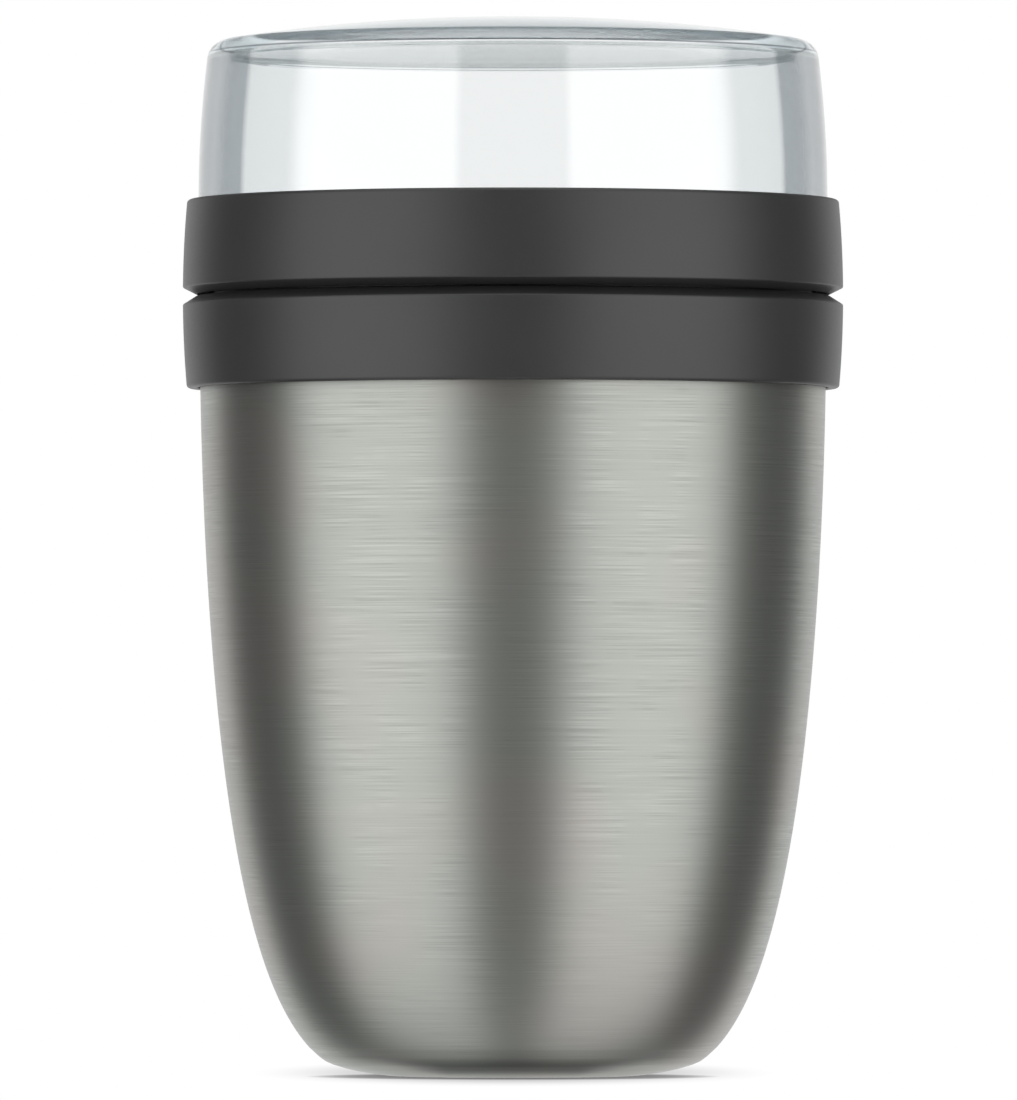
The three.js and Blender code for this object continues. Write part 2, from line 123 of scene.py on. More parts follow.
class Round(float, Enum):
    """Radius that rounds a corner of a section off, in mm."""

    SHEARED = 0.1
    LAND = 0.12
    FINE = 0.15
    DEBURRED = 0.18
    PLAIN = 0.2
    EASED = 0.25
    ROLLED = 0.28
    SOFT = 0.3
    FULL = 0.4
    BROAD = 0.5
    BENT = 1.0
    BLENDED = 1.2
    SWEPT = 1.5


class GeometryTree:
    """A Geometry Nodes tree that is built once and put on pieces as a modifier."""

    name: ClassVar[str]
    sizes: ClassVar[dict[str, str]]

    def __init__(self) -> None:
        """Make the tree's named inputs, its own nodes, and the ending that every tree has."""
        self.tree = bpy.data.node_groups.new(self.name, "GeometryNodeTree")
        face = self.tree.interface
        face.new_socket("Geometry", in_out="INPUT", socket_type="NodeSocketGeometry")
        self.identifiers: dict[str, str] = {}
        for size, kind in {**self.sizes, "Material": "NodeSocketMaterial"}.items():
            socket = face.new_socket(size, in_out="INPUT", socket_type=kind)
            self.identifiers[size] = socket.identifier
        face.new_socket("Geometry", in_out="OUTPUT", socket_type="NodeSocketGeometry")
        self.given = add_node(self.tree, "NodeGroupInput").outputs
        shape = self.shape()
        realized = add_node(self.tree, "GeometryNodeRealizeInstances", {"Geometry": shape})
        painted = add_node(
            self.tree,
            "GeometryNodeSetMaterial",
            {"Geometry": realized.outputs[0], "Material": self.given["Material"]},
        )
        add_node(self.tree, "NodeGroupOutput", {"Geometry": painted.outputs[0]})

    def shape(self) -> bpy.types.NodeSocket:
        """Add the tree's own nodes and return the geometry that they make."""
        raise NotImplementedError

    def put_on(self, piece: bpy.types.Object, values: dict[str, Any]) -> None:
        """Put the tree on a piece.

        Args:
            piece: Object that gets the modifier.
            values: Input name and value.
        """
        modifier = piece.modifiers.new(self.name, "NODES")
        modifier.node_group = self.tree
        for size, value in values.items():
            modifier[self.identifiers[size]] = value


class TurnedProfile(GeometryTree):
    """Turns a line of points in the XZ plane about Z, as a lathe or a spinning mould does."""

    name = "turned profile"
    sizes = {"Segments": "NodeSocketInt"}
    seam: ClassVar[float] = 0.002

    def shape(self) -> bpy.types.NodeSocket:
        """Lay a grid over the profile and the turn, then close its seam and its poles."""
        tree = self.tree
        line = self.given["Geometry"]
        segments = self.given["Segments"]
        count = add_node(tree, "GeometryNodeAttributeDomainSize", {"Geometry": line}, component="MESH")
        columns = add_node(tree, "ShaderNodeMath", {0: segments, 1: 1.0}, operation="ADD").outputs[0]
        grid = add_node(
            tree, "GeometryNodeMeshGrid", {"Vertices X": count.outputs["Point Count"], "Vertices Y": columns}
        )
        index = add_node(tree, "GeometryNodeInputIndex").outputs[0]
        place = add_node(tree, "ShaderNodeMath", {0: index, 1: columns}, operation="DIVIDE").outputs[0]
        row = add_node(tree, "ShaderNodeMath", {0: place}, operation="FLOOR").outputs[0]
        column = add_node(
            tree, "ShaderNodeMath", {0: index, 1: columns}, operation="FLOORED_MODULO"
        ).outputs[0]
        step = add_node(tree, "ShaderNodeMath", {0: -math.tau, 1: segments}, operation="DIVIDE").outputs[0]
        angle = add_node(tree, "ShaderNodeMath", {0: column, 1: step}, operation="MULTIPLY").outputs[0]
        position = add_node(tree, "GeometryNodeInputPosition").outputs[0]
        point = add_node(
            tree,
            "GeometryNodeSampleIndex",
            {"Geometry": line, "Value": position, "Index": row},
            data_type="FLOAT_VECTOR",
        )
        size = add_node(tree, "ShaderNodeSeparateXYZ", {0: point.outputs[0]}).outputs
        cosine = add_node(tree, "ShaderNodeMath", {0: angle}, operation="COSINE").outputs[0]
        sine = add_node(tree, "ShaderNodeMath", {0: angle}, operation="SINE").outputs[0]
        x = add_node(tree, "ShaderNodeMath", {0: size["X"], 1: cosine}, operation="MULTIPLY").outputs[0]
        y = add_node(tree, "ShaderNodeMath", {0: size["X"], 1: sine}, operation="MULTIPLY").outputs[0]
        spun = add_node(tree, "ShaderNodeCombineXYZ", {"X": x, "Y": y, "Z": size["Z"]}).outputs[0]
        skin = add_node(
            tree, "GeometryNodeSetPosition", {"Geometry": grid.outputs["Mesh"], "Position": spun}
        ).outputs[0]
        closed = add_node(
            tree, "GeometryNodeMergeByDistance", {"Geometry": skin, "Distance": self.seam * MM}
        )
        return add_node(tree, "GeometryNodeSetShadeSmooth", {"Geometry": closed.outputs[0]}).outputs[0]


class ThreadRidges(GeometryTree):
    """Raises the ridges of a screw thread out of a plain turned wall."""

    name = "thread ridges"
    sizes = {
        "Root": "NodeSocketFloat",
        "Depth": "NodeSocketFloat",
        "Low": "NodeSocketFloat",
        "Thickness": "NodeSocketFloat",
        "Arc": "NodeSocketFloat",
        "Start": "NodeSocketFloat",
        "Taper": "NodeSocketFloat",
        "Lead": "NodeSocketFloat",
        "Starts": "NodeSocketInt",
    }
    wall_reach: ClassVar[float] = 0.01
    flank_share: ClassVar[float] = 0.25

    def shape(self) -> bpy.types.NodeSocket:
        """Push the wall's points out, or in, where one of the ridges runs."""
        tree = self.tree
        given = self.given
        position = add_node(tree, "GeometryNodeInputPosition").outputs[0]
        point = add_node(tree, "ShaderNodeSeparateXYZ", {0: position}).outputs
        flat, radius = off_axis(tree, position)
        outwards = add_node(tree, "ShaderNodeVectorMath", {0: flat}, operation="NORMALIZE").outputs[0]
        on_wall = add_node(
            tree,
            "ShaderNodeMath",
            {0: radius, 1: given["Root"], 2: self.wall_reach * MM},
            operation="COMPARE",
        ).outputs[0]

        turn = add_node(
            tree, "ShaderNodeMath", {0: point["Y"], 1: point["X"]}, operation="ARCTAN2"
        ).outputs[0]
        past = add_node(tree, "ShaderNodeMath", {0: turn, 1: given["Start"]}, operation="SUBTRACT").outputs[0]
        share = add_node(
            tree, "ShaderNodeMath", {0: math.tau, 1: given["Starts"]}, operation="DIVIDE"
        ).outputs[0]
        along = add_node(tree, "ShaderNodeMath", {0: past, 1: share}, operation="FLOORED_MODULO").outputs[0]

        rate = add_node(
            tree, "ShaderNodeMath", {0: given["Lead"], 1: math.tau}, operation="DIVIDE"
        ).outputs[0]
        under = add_node(
            tree, "ShaderNodeMath", {0: along, 1: rate, 2: given["Low"]}, operation="MULTIPLY_ADD"
        ).outputs[0]
        over_low = add_node(
            tree, "ShaderNodeMath", {0: point["Z"], 1: under}, operation="SUBTRACT"
        ).outputs[0]
        to_high = add_node(
            tree, "ShaderNodeMath", {0: given["Thickness"], 1: over_low}, operation="SUBTRACT"
        ).outputs[0]
        inside = add_node(tree, "ShaderNodeMath", {0: over_low, 1: to_high}, operation="MINIMUM").outputs[0]
        flank = add_node(
            tree, "ShaderNodeMath", {0: given["Thickness"], 1: self.flank_share}, operation="MULTIPLY"
        ).outputs[0]
        section = add_node(
            tree,
            "ShaderNodeMapRange",
            {"Value": inside, "From Min": 0.0, "From Max": flank},
            interpolation_type=Blur.SOFT.value,
        ).outputs[0]

        left = add_node(tree, "ShaderNodeMath", {0: given["Arc"], 1: along}, operation="SUBTRACT").outputs[0]
        to_end = add_node(tree, "ShaderNodeMath", {0: along, 1: left}, operation="MINIMUM").outputs[0]
        taper = add_node(
            tree,
            "ShaderNodeMapRange",
            {"Value": to_end, "From Min": 0.0, "From Max": given["Taper"]},
            interpolation_type=Blur.SOFT.value,
        ).outputs[0]

        full = add_node(
            tree, "ShaderNodeMath", {0: given["Depth"], 1: section}, operation="MULTIPLY"
        ).outputs[0]
        height = add_node(tree, "ShaderNodeMath", {0: full, 1: taper}, operation="MULTIPLY").outputs[0]
        push = add_node(
            tree, "ShaderNodeVectorMath", {0: outwards, "Scale": height}, operation="SCALE"
        ).outputs[0]
        return add_node(
            tree,
            "GeometryNodeSetPosition",
            {"Geometry": given["Geometry"], "Selection": on_wall, "Offset": push},
        ).outputs[0]


@dataclass
class Profile:
    """Half section of a turned piece, in mm, as corners that run anticlockwise round its solid.

    A section that starts on the axis ends there too. Any other section closes on itself. An arc that rounds
    a corner takes at most side_share of the sides that it joins, and turns by arc_step degrees or less from
    point to point. A guard point stands beside it on a side longer than long_side, guard away or less.
    """

    threaded_radii: tuple[float, ...] = ()
    thread_row: float = 0.15
    thread_reach: float = 1e-4
    side_share: float = 0.38
    arc_step: float = 18.0
    least_turn: float = 1.0
    least_steps: int = 2
    long_side: float = 1.0
    guard: float = 0.15
    guard_share: float = 0.1
    corners: list[tuple[Vector, float]] = field(default_factory=list)

    def to(self, radius: float, height: float, rounding: float = Round.PLAIN) -> "Profile":
        """Add a corner and the radius that rounds it off."""
        self.corners.append((Vector((radius, height)), rounding))
        return self

    def along(self, points: Iterable[tuple[float, float]]) -> "Profile":
        """Add a smooth run of points, which stay as they are."""
        self.corners.extend((Vector(point), 0.0) for point in points)
        return self

    def rounded(self, before: Vector, corner: Vector, after: Vector, rounding: float) -> list[Vector]:
        """Round one corner off.

        Args:
            before: Point before the corner.
            corner: The corner itself.
            after: Point after the corner.
            rounding: Radius of the arc, made smaller where the sides are short.

        Returns:
            Points of the arc, with one more on each long side so that the side shades flat.
        """
        inward, onward = corner - before, after - corner
        turn = inward.angle(onward)
        if rounding == 0 or turn < math.radians(self.least_turn):
            return [corner]
        longest = self.side_share * min(inward.length, onward.length)
        reach = min(rounding * math.tan(turn / 2), longest)
        start = corner - inward.normalized() * reach
        end = corner + onward.normalized() * reach
        steps = max(self.least_steps, math.ceil(turn / math.radians(self.arc_step)))
        weight = math.cos(turn / 2)
        points = []
        for i in range(steps + 1):
            t = i / steps
            shares = ((1 - t) ** 2, 2 * weight * t * (1 - t), t**2)
            points.append((start * shares[0] + corner * shares[1] + end * shares[2]) / sum(shares))
        if inward.length > self.long_side:
            points.insert(0, start - inward.normalized() * min(self.guard, self.guard_share * inward.length))
        if onward.length > self.long_side:
            points.append(end + onward.normalized() * min(self.guard, self.guard_share * onward.length))
        return points

    def outline(self) -> list[Vector]:
        """Work the section out.

        Returns:
            Its points, with rounded corners and close rows where a thread is raised.
        """
        spots = [spot for spot, _ in self.corners]
        closed = spots[0].x > 0
        points = []
        for i, (spot, rounding) in enumerate(self.corners):
            at_end = not closed and i in (0, len(spots) - 1)
            after = spots[(i + 1) % len(spots)]
            points += [spot] if at_end else self.rounded(spots[i - 1], spot, after, rounding)
        if closed:
            points.append(points[0].copy())
        rows = [points[0]]
        for low, high in zip(points, points[1:]):
            offs = [max(abs(low.x - radius), abs(high.x - radius)) for radius in self.threaded_radii]
            threaded = any(off < self.thread_reach for off in offs)
            steps = math.ceil((high - low).length / self.thread_row) if threaded else 1
            rows += [low.lerp(high, i / steps) for i in range(1, steps + 1)]
        return rows


def run(
    radius_at: Callable[[float], float], low: float, high: float, steps: int
) -> list[tuple[float, float]]:
    """Sample a curved side.

    Args:
        radius_at: Radius at a height.
        low: Height of the first point.
        high: Height of the last point.
        steps: How many steps there are between them.

    Returns:
        Points of radius and height.
    """
    heights = [low + (high - low) * i / steps for i in range(steps + 1)]
    return [(radius_at(height), height) for height in heights]


def arc(
    centre: tuple[float, float], radius: float, start: float, end: float, steps: int
) -> list[tuple[float, float]]:
    """Sample a circular arc.

    Args:
        centre: Radius and height of its centre.
        radius: Its own radius.
        start: Angle of the first point in degrees, from straight outwards.
        end: Angle of the last point.
        steps: How many steps there are between them.

    Returns:
        Points of radius and height.
    """
    angles = [math.radians(start + (end - start) * i / steps) for i in range(steps + 1)]
    return [(max(0.0, centre[0] + radius * math.cos(a)), centre[1] + radius * math.sin(a)) for a in angles]


@dataclass(frozen=True)
class Thread:
    """Ridges of one screw thread on one wall. The crest is inside the root on a nut's side of it."""

    root: float
    crest: float
    low: float
    thickness: float
    arc: float
    start: float
    taper: float = 5.0
    lead: float = 18.0
    starts: int = 4

    def values(self) -> dict[str, Any]:
        """Give the sizes as inputs of the thread's tree, in metres and radians."""
        return {
            "Root": self.root * MM,
            "Depth": (self.crest - self.root) * MM,
            "Low": self.low * MM,
            "Thickness": self.thickness * MM,
            "Arc": math.radians(self.arc),
            "Start": math.radians(self.start),
            "Taper": math.radians(self.taper),
            "Lead": self.lead * MM,
            "Starts": self.starts,
        }


@dataclass(frozen=True)
class Finish:
    """A real material and how its surface was made."""

    name: str

    def material(self) -> bpy.types.Material:
        """Build the material on first use.

        Returns:
            The one material of this finish.
        """
        if self.name in bpy.data.materials:
            return bpy.data.materials[self.name]
        material = bpy.data.materials.new(self.name)
        material.use_nodes = True
        tree = material.node_tree
        coords = add_node(tree, "ShaderNodeTexCoord").outputs["Object"]
        self.dress(tree, tree.nodes["Principled BSDF"], coords)
        return material

    def dress(self, tree: bpy.types.NodeTree, shader: bpy.types.Node, coords: bpy.types.NodeSocket) -> None:
        """Add the pattern nodes.

        Args:
            tree: Node tree of the material.
            shader: Its surface shader.
            coords: Object coordinates, in metres.
        """
        raise NotImplementedError


@dataclass(frozen=True)
class BrushedSteel(Finish):
    """Stainless steel, brushed round the pot on a belt while it turns.

    The eye sees fine broken lines that run round the pot, reflections drawn out across those lines, and
    patches where the steel looks a little warmer or greener. The lines of a real belt are under 0.1 mm wide
    and are drawn coarser here so that they show.
    """

    pale: str = "b1b4ae"
    dark: str = "a1a49e"
    warm: str = "b1a9a6"
    line_width: float = 0.2
    line_length: float = 18.0
    line_depth: float = 0.004
    line_relief: float = 0.3
    line_middle: float = 0.5
    line_range: tuple[float, float] = (0.3, 0.7)
    cluster: float = 6.0
    cluster_range: tuple[float, float] = (0.4, 0.62)
    cluster_strength: tuple[float, float] = (0.3, 1.3)
    patch: float = 26.0
    patch_range: tuple[float, float] = (0.42, 0.68)
    patch_warmth: float = 0.5
    roughness: tuple[float, float] = (0.48, 0.43)
    stretch: float = 0.7
    quarter_turn: float = 0.25

    def dress(self, tree: bpy.types.NodeTree, shader: bpy.types.Node, coords: bpy.types.NodeSocket) -> None:
        """Add broken lines round the axis, on walls and on flat faces alike."""
        _, radius = off_axis(tree, coords)
        spot = add_node(tree, "ShaderNodeSeparateXYZ", {0: coords}).outputs
        across = add_node(tree, "ShaderNodeMath", {0: radius, 1: spot["Z"]}, operation="ADD").outputs[0]
        laid = add_node(
            tree, "ShaderNodeCombineXYZ", {"X": spot["X"], "Y": spot["Y"], "Z": across}
        ).outputs[0]
        line_scale = (1 / self.line_length / MM, 1 / self.line_length / MM, 1 / self.line_width / MM)
        line_coords = add_node(tree, "ShaderNodeMapping", {"Vector": laid, "Scale": line_scale}).outputs[0]
        lines = add_node(
            tree,
            "ShaderNodeTexNoise",
            {"Vector": line_coords, "Scale": 1.0, "Detail": 2.0, "Roughness": 0.55},
        ).outputs[0]
        clusters = add_node(
            tree, "ShaderNodeTexNoise", {"Vector": coords, "Scale": 1 / self.cluster / MM, "Detail": 2.0}
        ).outputs[0]
        strength = add_node(
            tree,
            "ShaderNodeMapRange",
            {
                "Value": clusters,
                "From Min": self.cluster_range[0],
                "From Max": self.cluster_range[1],
                "To Min": self.cluster_strength[0],
                "To Max": self.cluster_strength[1],
            },
        ).outputs[0]
        lift = add_node(
            tree, "ShaderNodeMath", {0: lines, 1: self.line_middle}, operation="SUBTRACT"
        ).outputs[0]
        grain = add_node(
            tree, "ShaderNodeMath", {0: lift, 1: strength, 2: self.line_middle}, operation="MULTIPLY_ADD"
        ).outputs[0]
        shade = add_node(
            tree,
            "ShaderNodeMapRange",
            {"Value": grain, "From Min": self.line_range[0], "From Max": self.line_range[1]},
        ).outputs[0]
        patches = add_node(
            tree, "ShaderNodeTexNoise", {"Vector": coords, "Scale": 1 / self.patch / MM, "Detail": 1.0}
        ).outputs[0]
        warmth = add_node(
            tree,
            "ShaderNodeMapRange",
            {
                "Value": patches,
                "From Min": self.patch_range[0],
                "From Max": self.patch_range[1],
                "To Max": self.patch_warmth,
            },
            interpolation_type=Blur.SOFT.value,
        ).outputs[0]
        steel = add_node(
            tree,
            "ShaderNodeMix",
            {0: shade, 6: linear(self.dark), 7: linear(self.pale)},
            data_type="RGBA",
        ).outputs[2]
        tinted = add_node(
            tree, "ShaderNodeMix", {0: warmth, 6: steel, 7: linear(self.warm)}, data_type="RGBA"
        ).outputs[2]
        gloss = add_node(
            tree,
            "ShaderNodeMapRange",
            {"Value": shade, "To Min": self.roughness[0], "To Max": self.roughness[1]},
        ).outputs[0]
        bump = add_node(
            tree,
            "ShaderNodeBump",
            {"Strength": self.line_relief, "Distance": self.line_depth * MM, "Height": grain},
        ).outputs[0]
        round_axis = add_node(tree, "ShaderNodeTangent", direction_type="RADIAL", axis="Z").outputs[0]
        shader.inputs["Metallic"].default_value = 1.0
        shader.inputs["Anisotropic"].default_value = self.stretch
        shader.inputs["Anisotropic Rotation"].default_value = self.quarter_turn
        tree.links.new(round_axis, shader.inputs["Tangent"])
        tree.links.new(tinted, shader.inputs["Base Color"])
        tree.links.new(gloss, shader.inputs["Roughness"])
        tree.links.new(bump, shader.inputs["Normal"])


@dataclass(frozen=True)
class DrawnSteel(Finish):
    """Stainless steel, deep drawn and then polished in a bath.

    The eye sees a bright satin with faint long marks along the draw, which the bath has softened.
    """

    pale: str = "d8d8d6"
    dark: str = "cacbc9"
    mark_width: float = 0.8
    mark_length: float = 30.0
    ripple: float = 6.0
    ripple_depth: float = 0.02
    ripple_relief: float = 0.15
    roughness: tuple[float, float] = (0.42, 0.52)

    def dress(self, tree: bpy.types.NodeTree, shader: bpy.types.Node, coords: bpy.types.NodeSocket) -> None:
        """Add draw marks up the wall and a soft ripple."""
        scale = (1 / self.mark_width / MM, 1 / self.mark_width / MM, 1 / self.mark_length / MM)
        laid = add_node(tree, "ShaderNodeMapping", {"Vector": coords, "Scale": scale}).outputs[0]
        marks = add_node(
            tree, "ShaderNodeTexNoise", {"Vector": laid, "Scale": 1.0, "Detail": 3.0, "Roughness": 0.55}
        ).outputs[0]
        ripple = add_node(
            tree, "ShaderNodeTexNoise", {"Vector": coords, "Scale": 1 / self.ripple / MM, "Detail": 1.0}
        ).outputs[0]
        steel = add_node(
            tree,
            "ShaderNodeMix",
            {0: marks, 6: linear(self.dark), 7: linear(self.pale)},
            data_type="RGBA",
        ).outputs[2]
        gloss = add_node(
            tree,
            "ShaderNodeMapRange",
            {"Value": marks, "To Min": self.roughness[0], "To Max": self.roughness[1]},
        ).outputs[0]
        bump = add_node(
            tree,
            "ShaderNodeBump",
            {"Strength": self.ripple_relief, "Distance": self.ripple_depth * MM, "Height": ripple},
        ).outputs[0]
        shader.inputs["Metallic"].default_value = 1.0
        tree.links.new(steel, shader.inputs["Base Color"])
        tree.links.new(gloss, shader.inputs["Roughness"])
        tree.links.new(bump, shader.inputs["Normal"])


@dataclass(frozen=True)
class MouldedPlastic(Finish):
    """Polypropylene, moulded dark in a tool with a fine eroded surface.

    The eye sees a matt face with a soft broad shine, a grain just too fine to count, and a shade that hardly
    changes. The grain of such a tool is near 0.1 mm and is drawn coarser here so that it shows.
    """

    pale: str = "272728"
    dark: str = "202021"
    grain: float = 0.35
    grain_depth: float = 0.02
    grain_relief: float = 0.25
    cloud: float = 14.0
    shade_range: tuple[float, float] = (0.6, 1.4)
    roughness: tuple[float, float] = (0.36, 0.48)
    ior: float = 1.49
    shine: float = 0.7

    def dress(self, tree: bpy.types.NodeTree, shader: bpy.types.Node, coords: bpy.types.NodeSocket) -> None:
        """Add the tool's grain and the slow change of shade that the melt leaves."""
        grain = add_node(
            tree,
            "ShaderNodeTexNoise",
            {"Vector": coords, "Scale": 1 / self.grain / MM, "Detail": 2.0, "Roughness": 0.6},
        ).outputs[0]
        cloud = add_node(
            tree, "ShaderNodeTexNoise", {"Vector": coords, "Scale": 1 / self.cloud / MM, "Detail": 2.0}
        ).outputs[0]
        both = add_node(tree, "ShaderNodeMath", {0: grain, 1: cloud}, operation="ADD").outputs[0]
        shade = add_node(
            tree,
            "ShaderNodeMapRange",
            {"Value": both, "From Min": self.shade_range[0], "From Max": self.shade_range[1]},
        ).outputs[0]
        colour = add_node(
            tree,
            "ShaderNodeMix",
            {0: shade, 6: linear(self.dark), 7: linear(self.pale)},
            data_type="RGBA",
        ).outputs[2]
        gloss = add_node(
            tree,
            "ShaderNodeMapRange",
            {"Value": grain, "To Min": self.roughness[0], "To Max": self.roughness[1]},
        ).outputs[0]
        bump = add_node(
            tree,
            "ShaderNodeBump",
            {"Strength": self.grain_relief, "Distance": self.grain_depth * MM, "Height": grain},
        ).outputs[0]
        shader.inputs["IOR"].default_value = self.ior
        shader.inputs["Specular IOR Level"].default_value = self.shine
        tree.links.new(colour, shader.inputs["Base Color"])
        tree.links.new(gloss, shader.inputs["Roughness"])
        tree.links.new(bump, shader.inputs["Normal"])


@dataclass(frozen=True)
class ClearPlastic(Finish):
    """Clear styrene copolymer, moulded in a polished tool and hard coated outside.

    The eye looks straight through the faces that it meets squarely, and the coat lays clear reflections of
    the lights over them. Towards the edges, where the light runs a long way through the wall, the plastic
    takes on its own colour in depth, and a painted shade, brought in by the viewing angle, greys the base
    colour further there and on the top, with two painted dark lines round the corner. A few hair scratches,
    drawn wider than real ones so that they show, dull the gloss, and the crown, where the coat is worn off,
    is lightly scuffed.
    """

    clear: str = "fcfdfd"
    # Painted shade: the colours from here down to line are greys that the viewing angle brings into the base
    # colour at the cup's sides, crown and ceiling, and dark lines round the corner.
    slant_painted_grey: str = "e1e7e9"
    edge: str = "767e83"
    rim: str = "4a5054"
    crown: str = "c4d6dd"
    ceiling: str = "808a8c"
    line: str = "4c5458"
    depth_colour: str = "bcd3dc"
    depth_density: float = 4.0
    pale_shade_ramp: tuple[float, float, Blur] = (0.22, 0.32, Blur.EVEN)
    slant_ramp: tuple[float, float, Blur] = (0.47, 0.51, Blur.SOFT)
    graze_ramp: tuple[float, float, Blur] = (0.62, 0.8, Blur.EVEN)
    skin_radius: float = 48.3
    top_height: float = 164.5
    scratch_width: float = 0.3
    scratch_length: float = 9.0
    scratch_tilt: tuple[float, float, float] = (0.3, 0.2, 0.0)
    scratch_range: tuple[float, float] = (0.62, 0.8)
    roughness: tuple[float, float] = (0.005, 0.05)
    crown_radius: float = 310.3
    crown_centre: float = -139.0
    crown_skin: float = 2.0
    scuff_depth: tuple[float, float] = (1.0, 0.2)
    scuff_roughness: float = 0.07
    ior: float = 1.52
    shine: float = 0.8
    painted_corner_lines: tuple[tuple[float, float], ...] = ((165.7, 0.13), (164.3, 0.06))

    def dress(self, tree: bpy.types.NodeTree, shader: bpy.types.Node, coords: bpy.types.NodeSocket) -> None:
        """Add the painted grey shade and dark lines, the plastic's colour in depth, the scratches and the
        coat.
        """
        # Painted shade: the base colour turns pale grey, then darker grey, as the faces outside and on top
        # turn away from the eye.
        facing = add_node(tree, "ShaderNodeLayerWeight", {"Blend": 0.5}).outputs["Facing"]
        painted_pale_shade, aslant, grazed = [
            add_node(
                tree,
                "ShaderNodeMapRange",
                {"Value": facing, "From Min": low, "From Max": high},
                interpolation_type=blur.value,
            ).outputs[0]
            for low, high, blur in (self.pale_shade_ramp, self.slant_ramp, self.graze_ramp)
        ]
        spot = add_node(tree, "ShaderNodeSeparateXYZ", {0: coords}).outputs
        _, radius = off_axis(tree, coords)
        outside = add_node(
            tree, "ShaderNodeMath", {0: radius, 1: self.skin_radius * MM}, operation="GREATER_THAN"
        ).outputs[0]
        on_top = add_node(
            tree, "ShaderNodeMath", {0: spot["Z"], 1: self.top_height * MM}, operation="GREATER_THAN"
        ).outputs[0]
        off_bore = add_node(tree, "ShaderNodeMath", {0: outside, 1: on_top}, operation="MAXIMUM").outputs[0]
        centre = (0.0, 0.0, self.crown_centre * MM)
        from_centre = add_node(
            tree, "ShaderNodeVectorMath", {0: coords, 1: centre}, operation="DISTANCE"
        ).outputs["Value"]
        ceiling_radius = (self.crown_radius - self.crown_skin) * MM
        outer = add_node(
            tree, "ShaderNodeMath", {0: from_centre, 1: ceiling_radius}, operation="GREATER_THAN"
        ).outputs[0]
        top = add_node(
            tree,
            "ShaderNodeMix",
            {0: outer, 6: linear(self.ceiling), 7: linear(self.crown)},
            data_type="RGBA",
        ).outputs[2]
        side = add_node(
            tree, "ShaderNodeMix", {0: grazed, 6: linear(self.edge), 7: linear(self.rim)}, data_type="RGBA"
        ).outputs[2]
        rim = add_node(tree, "ShaderNodeMix", {0: on_top, 6: side, 7: top}, data_type="RGBA").outputs[2]
        pale_share, grey_share = [
            add_node(tree, "ShaderNodeMath", {0: share, 1: off_bore}, operation="MULTIPLY").outputs[0]
            for share in (painted_pale_shade, aslant)
        ]
        pale = add_node(
            tree,
            "ShaderNodeMix",
            {0: pale_share, 6: linear(self.clear), 7: linear(self.slant_painted_grey)},
            data_type="RGBA",
        ).outputs[2]
        body = add_node(
            tree, "ShaderNodeMix", {0: grey_share, 6: pale, 7: rim}, data_type="RGBA"
        ).outputs[2]
        # Painted shade: two fine dark lines round the corner of the crown, on its outer face only.
        lines = [
            add_node(
                tree, "ShaderNodeMath", {0: spot["Z"], 1: height * MM, 2: half * MM}, operation="COMPARE"
            ).outputs[0]
            for height, half in self.painted_corner_lines
        ]
        either = add_node(tree, "ShaderNodeMath", {0: lines[0], 1: lines[1]}, operation="MAXIMUM").outputs[0]
        on_painted_line = add_node(tree, "ShaderNodeMath", {0: either, 1: outer}, operation="MULTIPLY").outputs[0]
        colour = add_node(
            tree, "ShaderNodeMix", {0: on_painted_line, 6: body, 7: linear(self.line)}, data_type="RGBA"
        ).outputs[2]
        scale = (1 / self.scratch_length / MM, 1 / self.scratch_length / MM, 1 / self.scratch_width / MM)
        laid = add_node(
            tree,
            "ShaderNodeMapping",
            {"Vector": coords, "Scale": scale, "Rotation": self.scratch_tilt},
        ).outputs[0]
        scratches = add_node(
            tree, "ShaderNodeTexNoise", {"Vector": laid, "Scale": 1.0, "Detail": 2.0}
        ).outputs[0]
        gloss = add_node(
            tree,
            "ShaderNodeMapRange",
            {
                "Value": scratches,
                "From Min": self.scratch_range[0],
                "From Max": self.scratch_range[1],
                "To Min": self.roughness[0],
                "To Max": self.roughness[1],
            },
        ).outputs[0]
        scuffs = add_node(
            tree,
            "ShaderNodeMapRange",
            {
                "Value": from_centre,
                "From Min": (self.crown_radius - self.scuff_depth[0]) * MM,
                "From Max": (self.crown_radius - self.scuff_depth[1]) * MM,
                "To Max": self.scuff_roughness,
            },
        ).outputs[0]
        dull = add_node(tree, "ShaderNodeMath", {0: gloss, 1: scuffs}, operation="ADD").outputs[0]
        worn = add_node(tree, "ShaderNodeMath", {0: aslant, 1: on_top}, operation="MAXIMUM").outputs[0]
        coat = add_node(
            tree, "ShaderNodeMath", {0: outside, 1: worn}, operation="SUBTRACT", use_clamp=True
        ).outputs[0]
        shader.inputs["IOR"].default_value = self.ior
        shader.inputs["Specular IOR Level"].default_value = self.shine
        shader.inputs["Transmission Weight"].default_value = 1.0
        depth = add_node(
            tree,
            "ShaderNodeVolumeAbsorption",
            {"Color": linear(self.depth_colour), "Density": self.depth_density},
        ).outputs[0]
        tree.links.new(depth, tree.nodes["Material Output"].inputs["Volume"])
        tree.links.new(colour, shader.inputs["Base Color"])
        tree.links.new(dull, shader.inputs["Roughness"])
        tree.links.new(coat, shader.inputs["Coat Weight"])


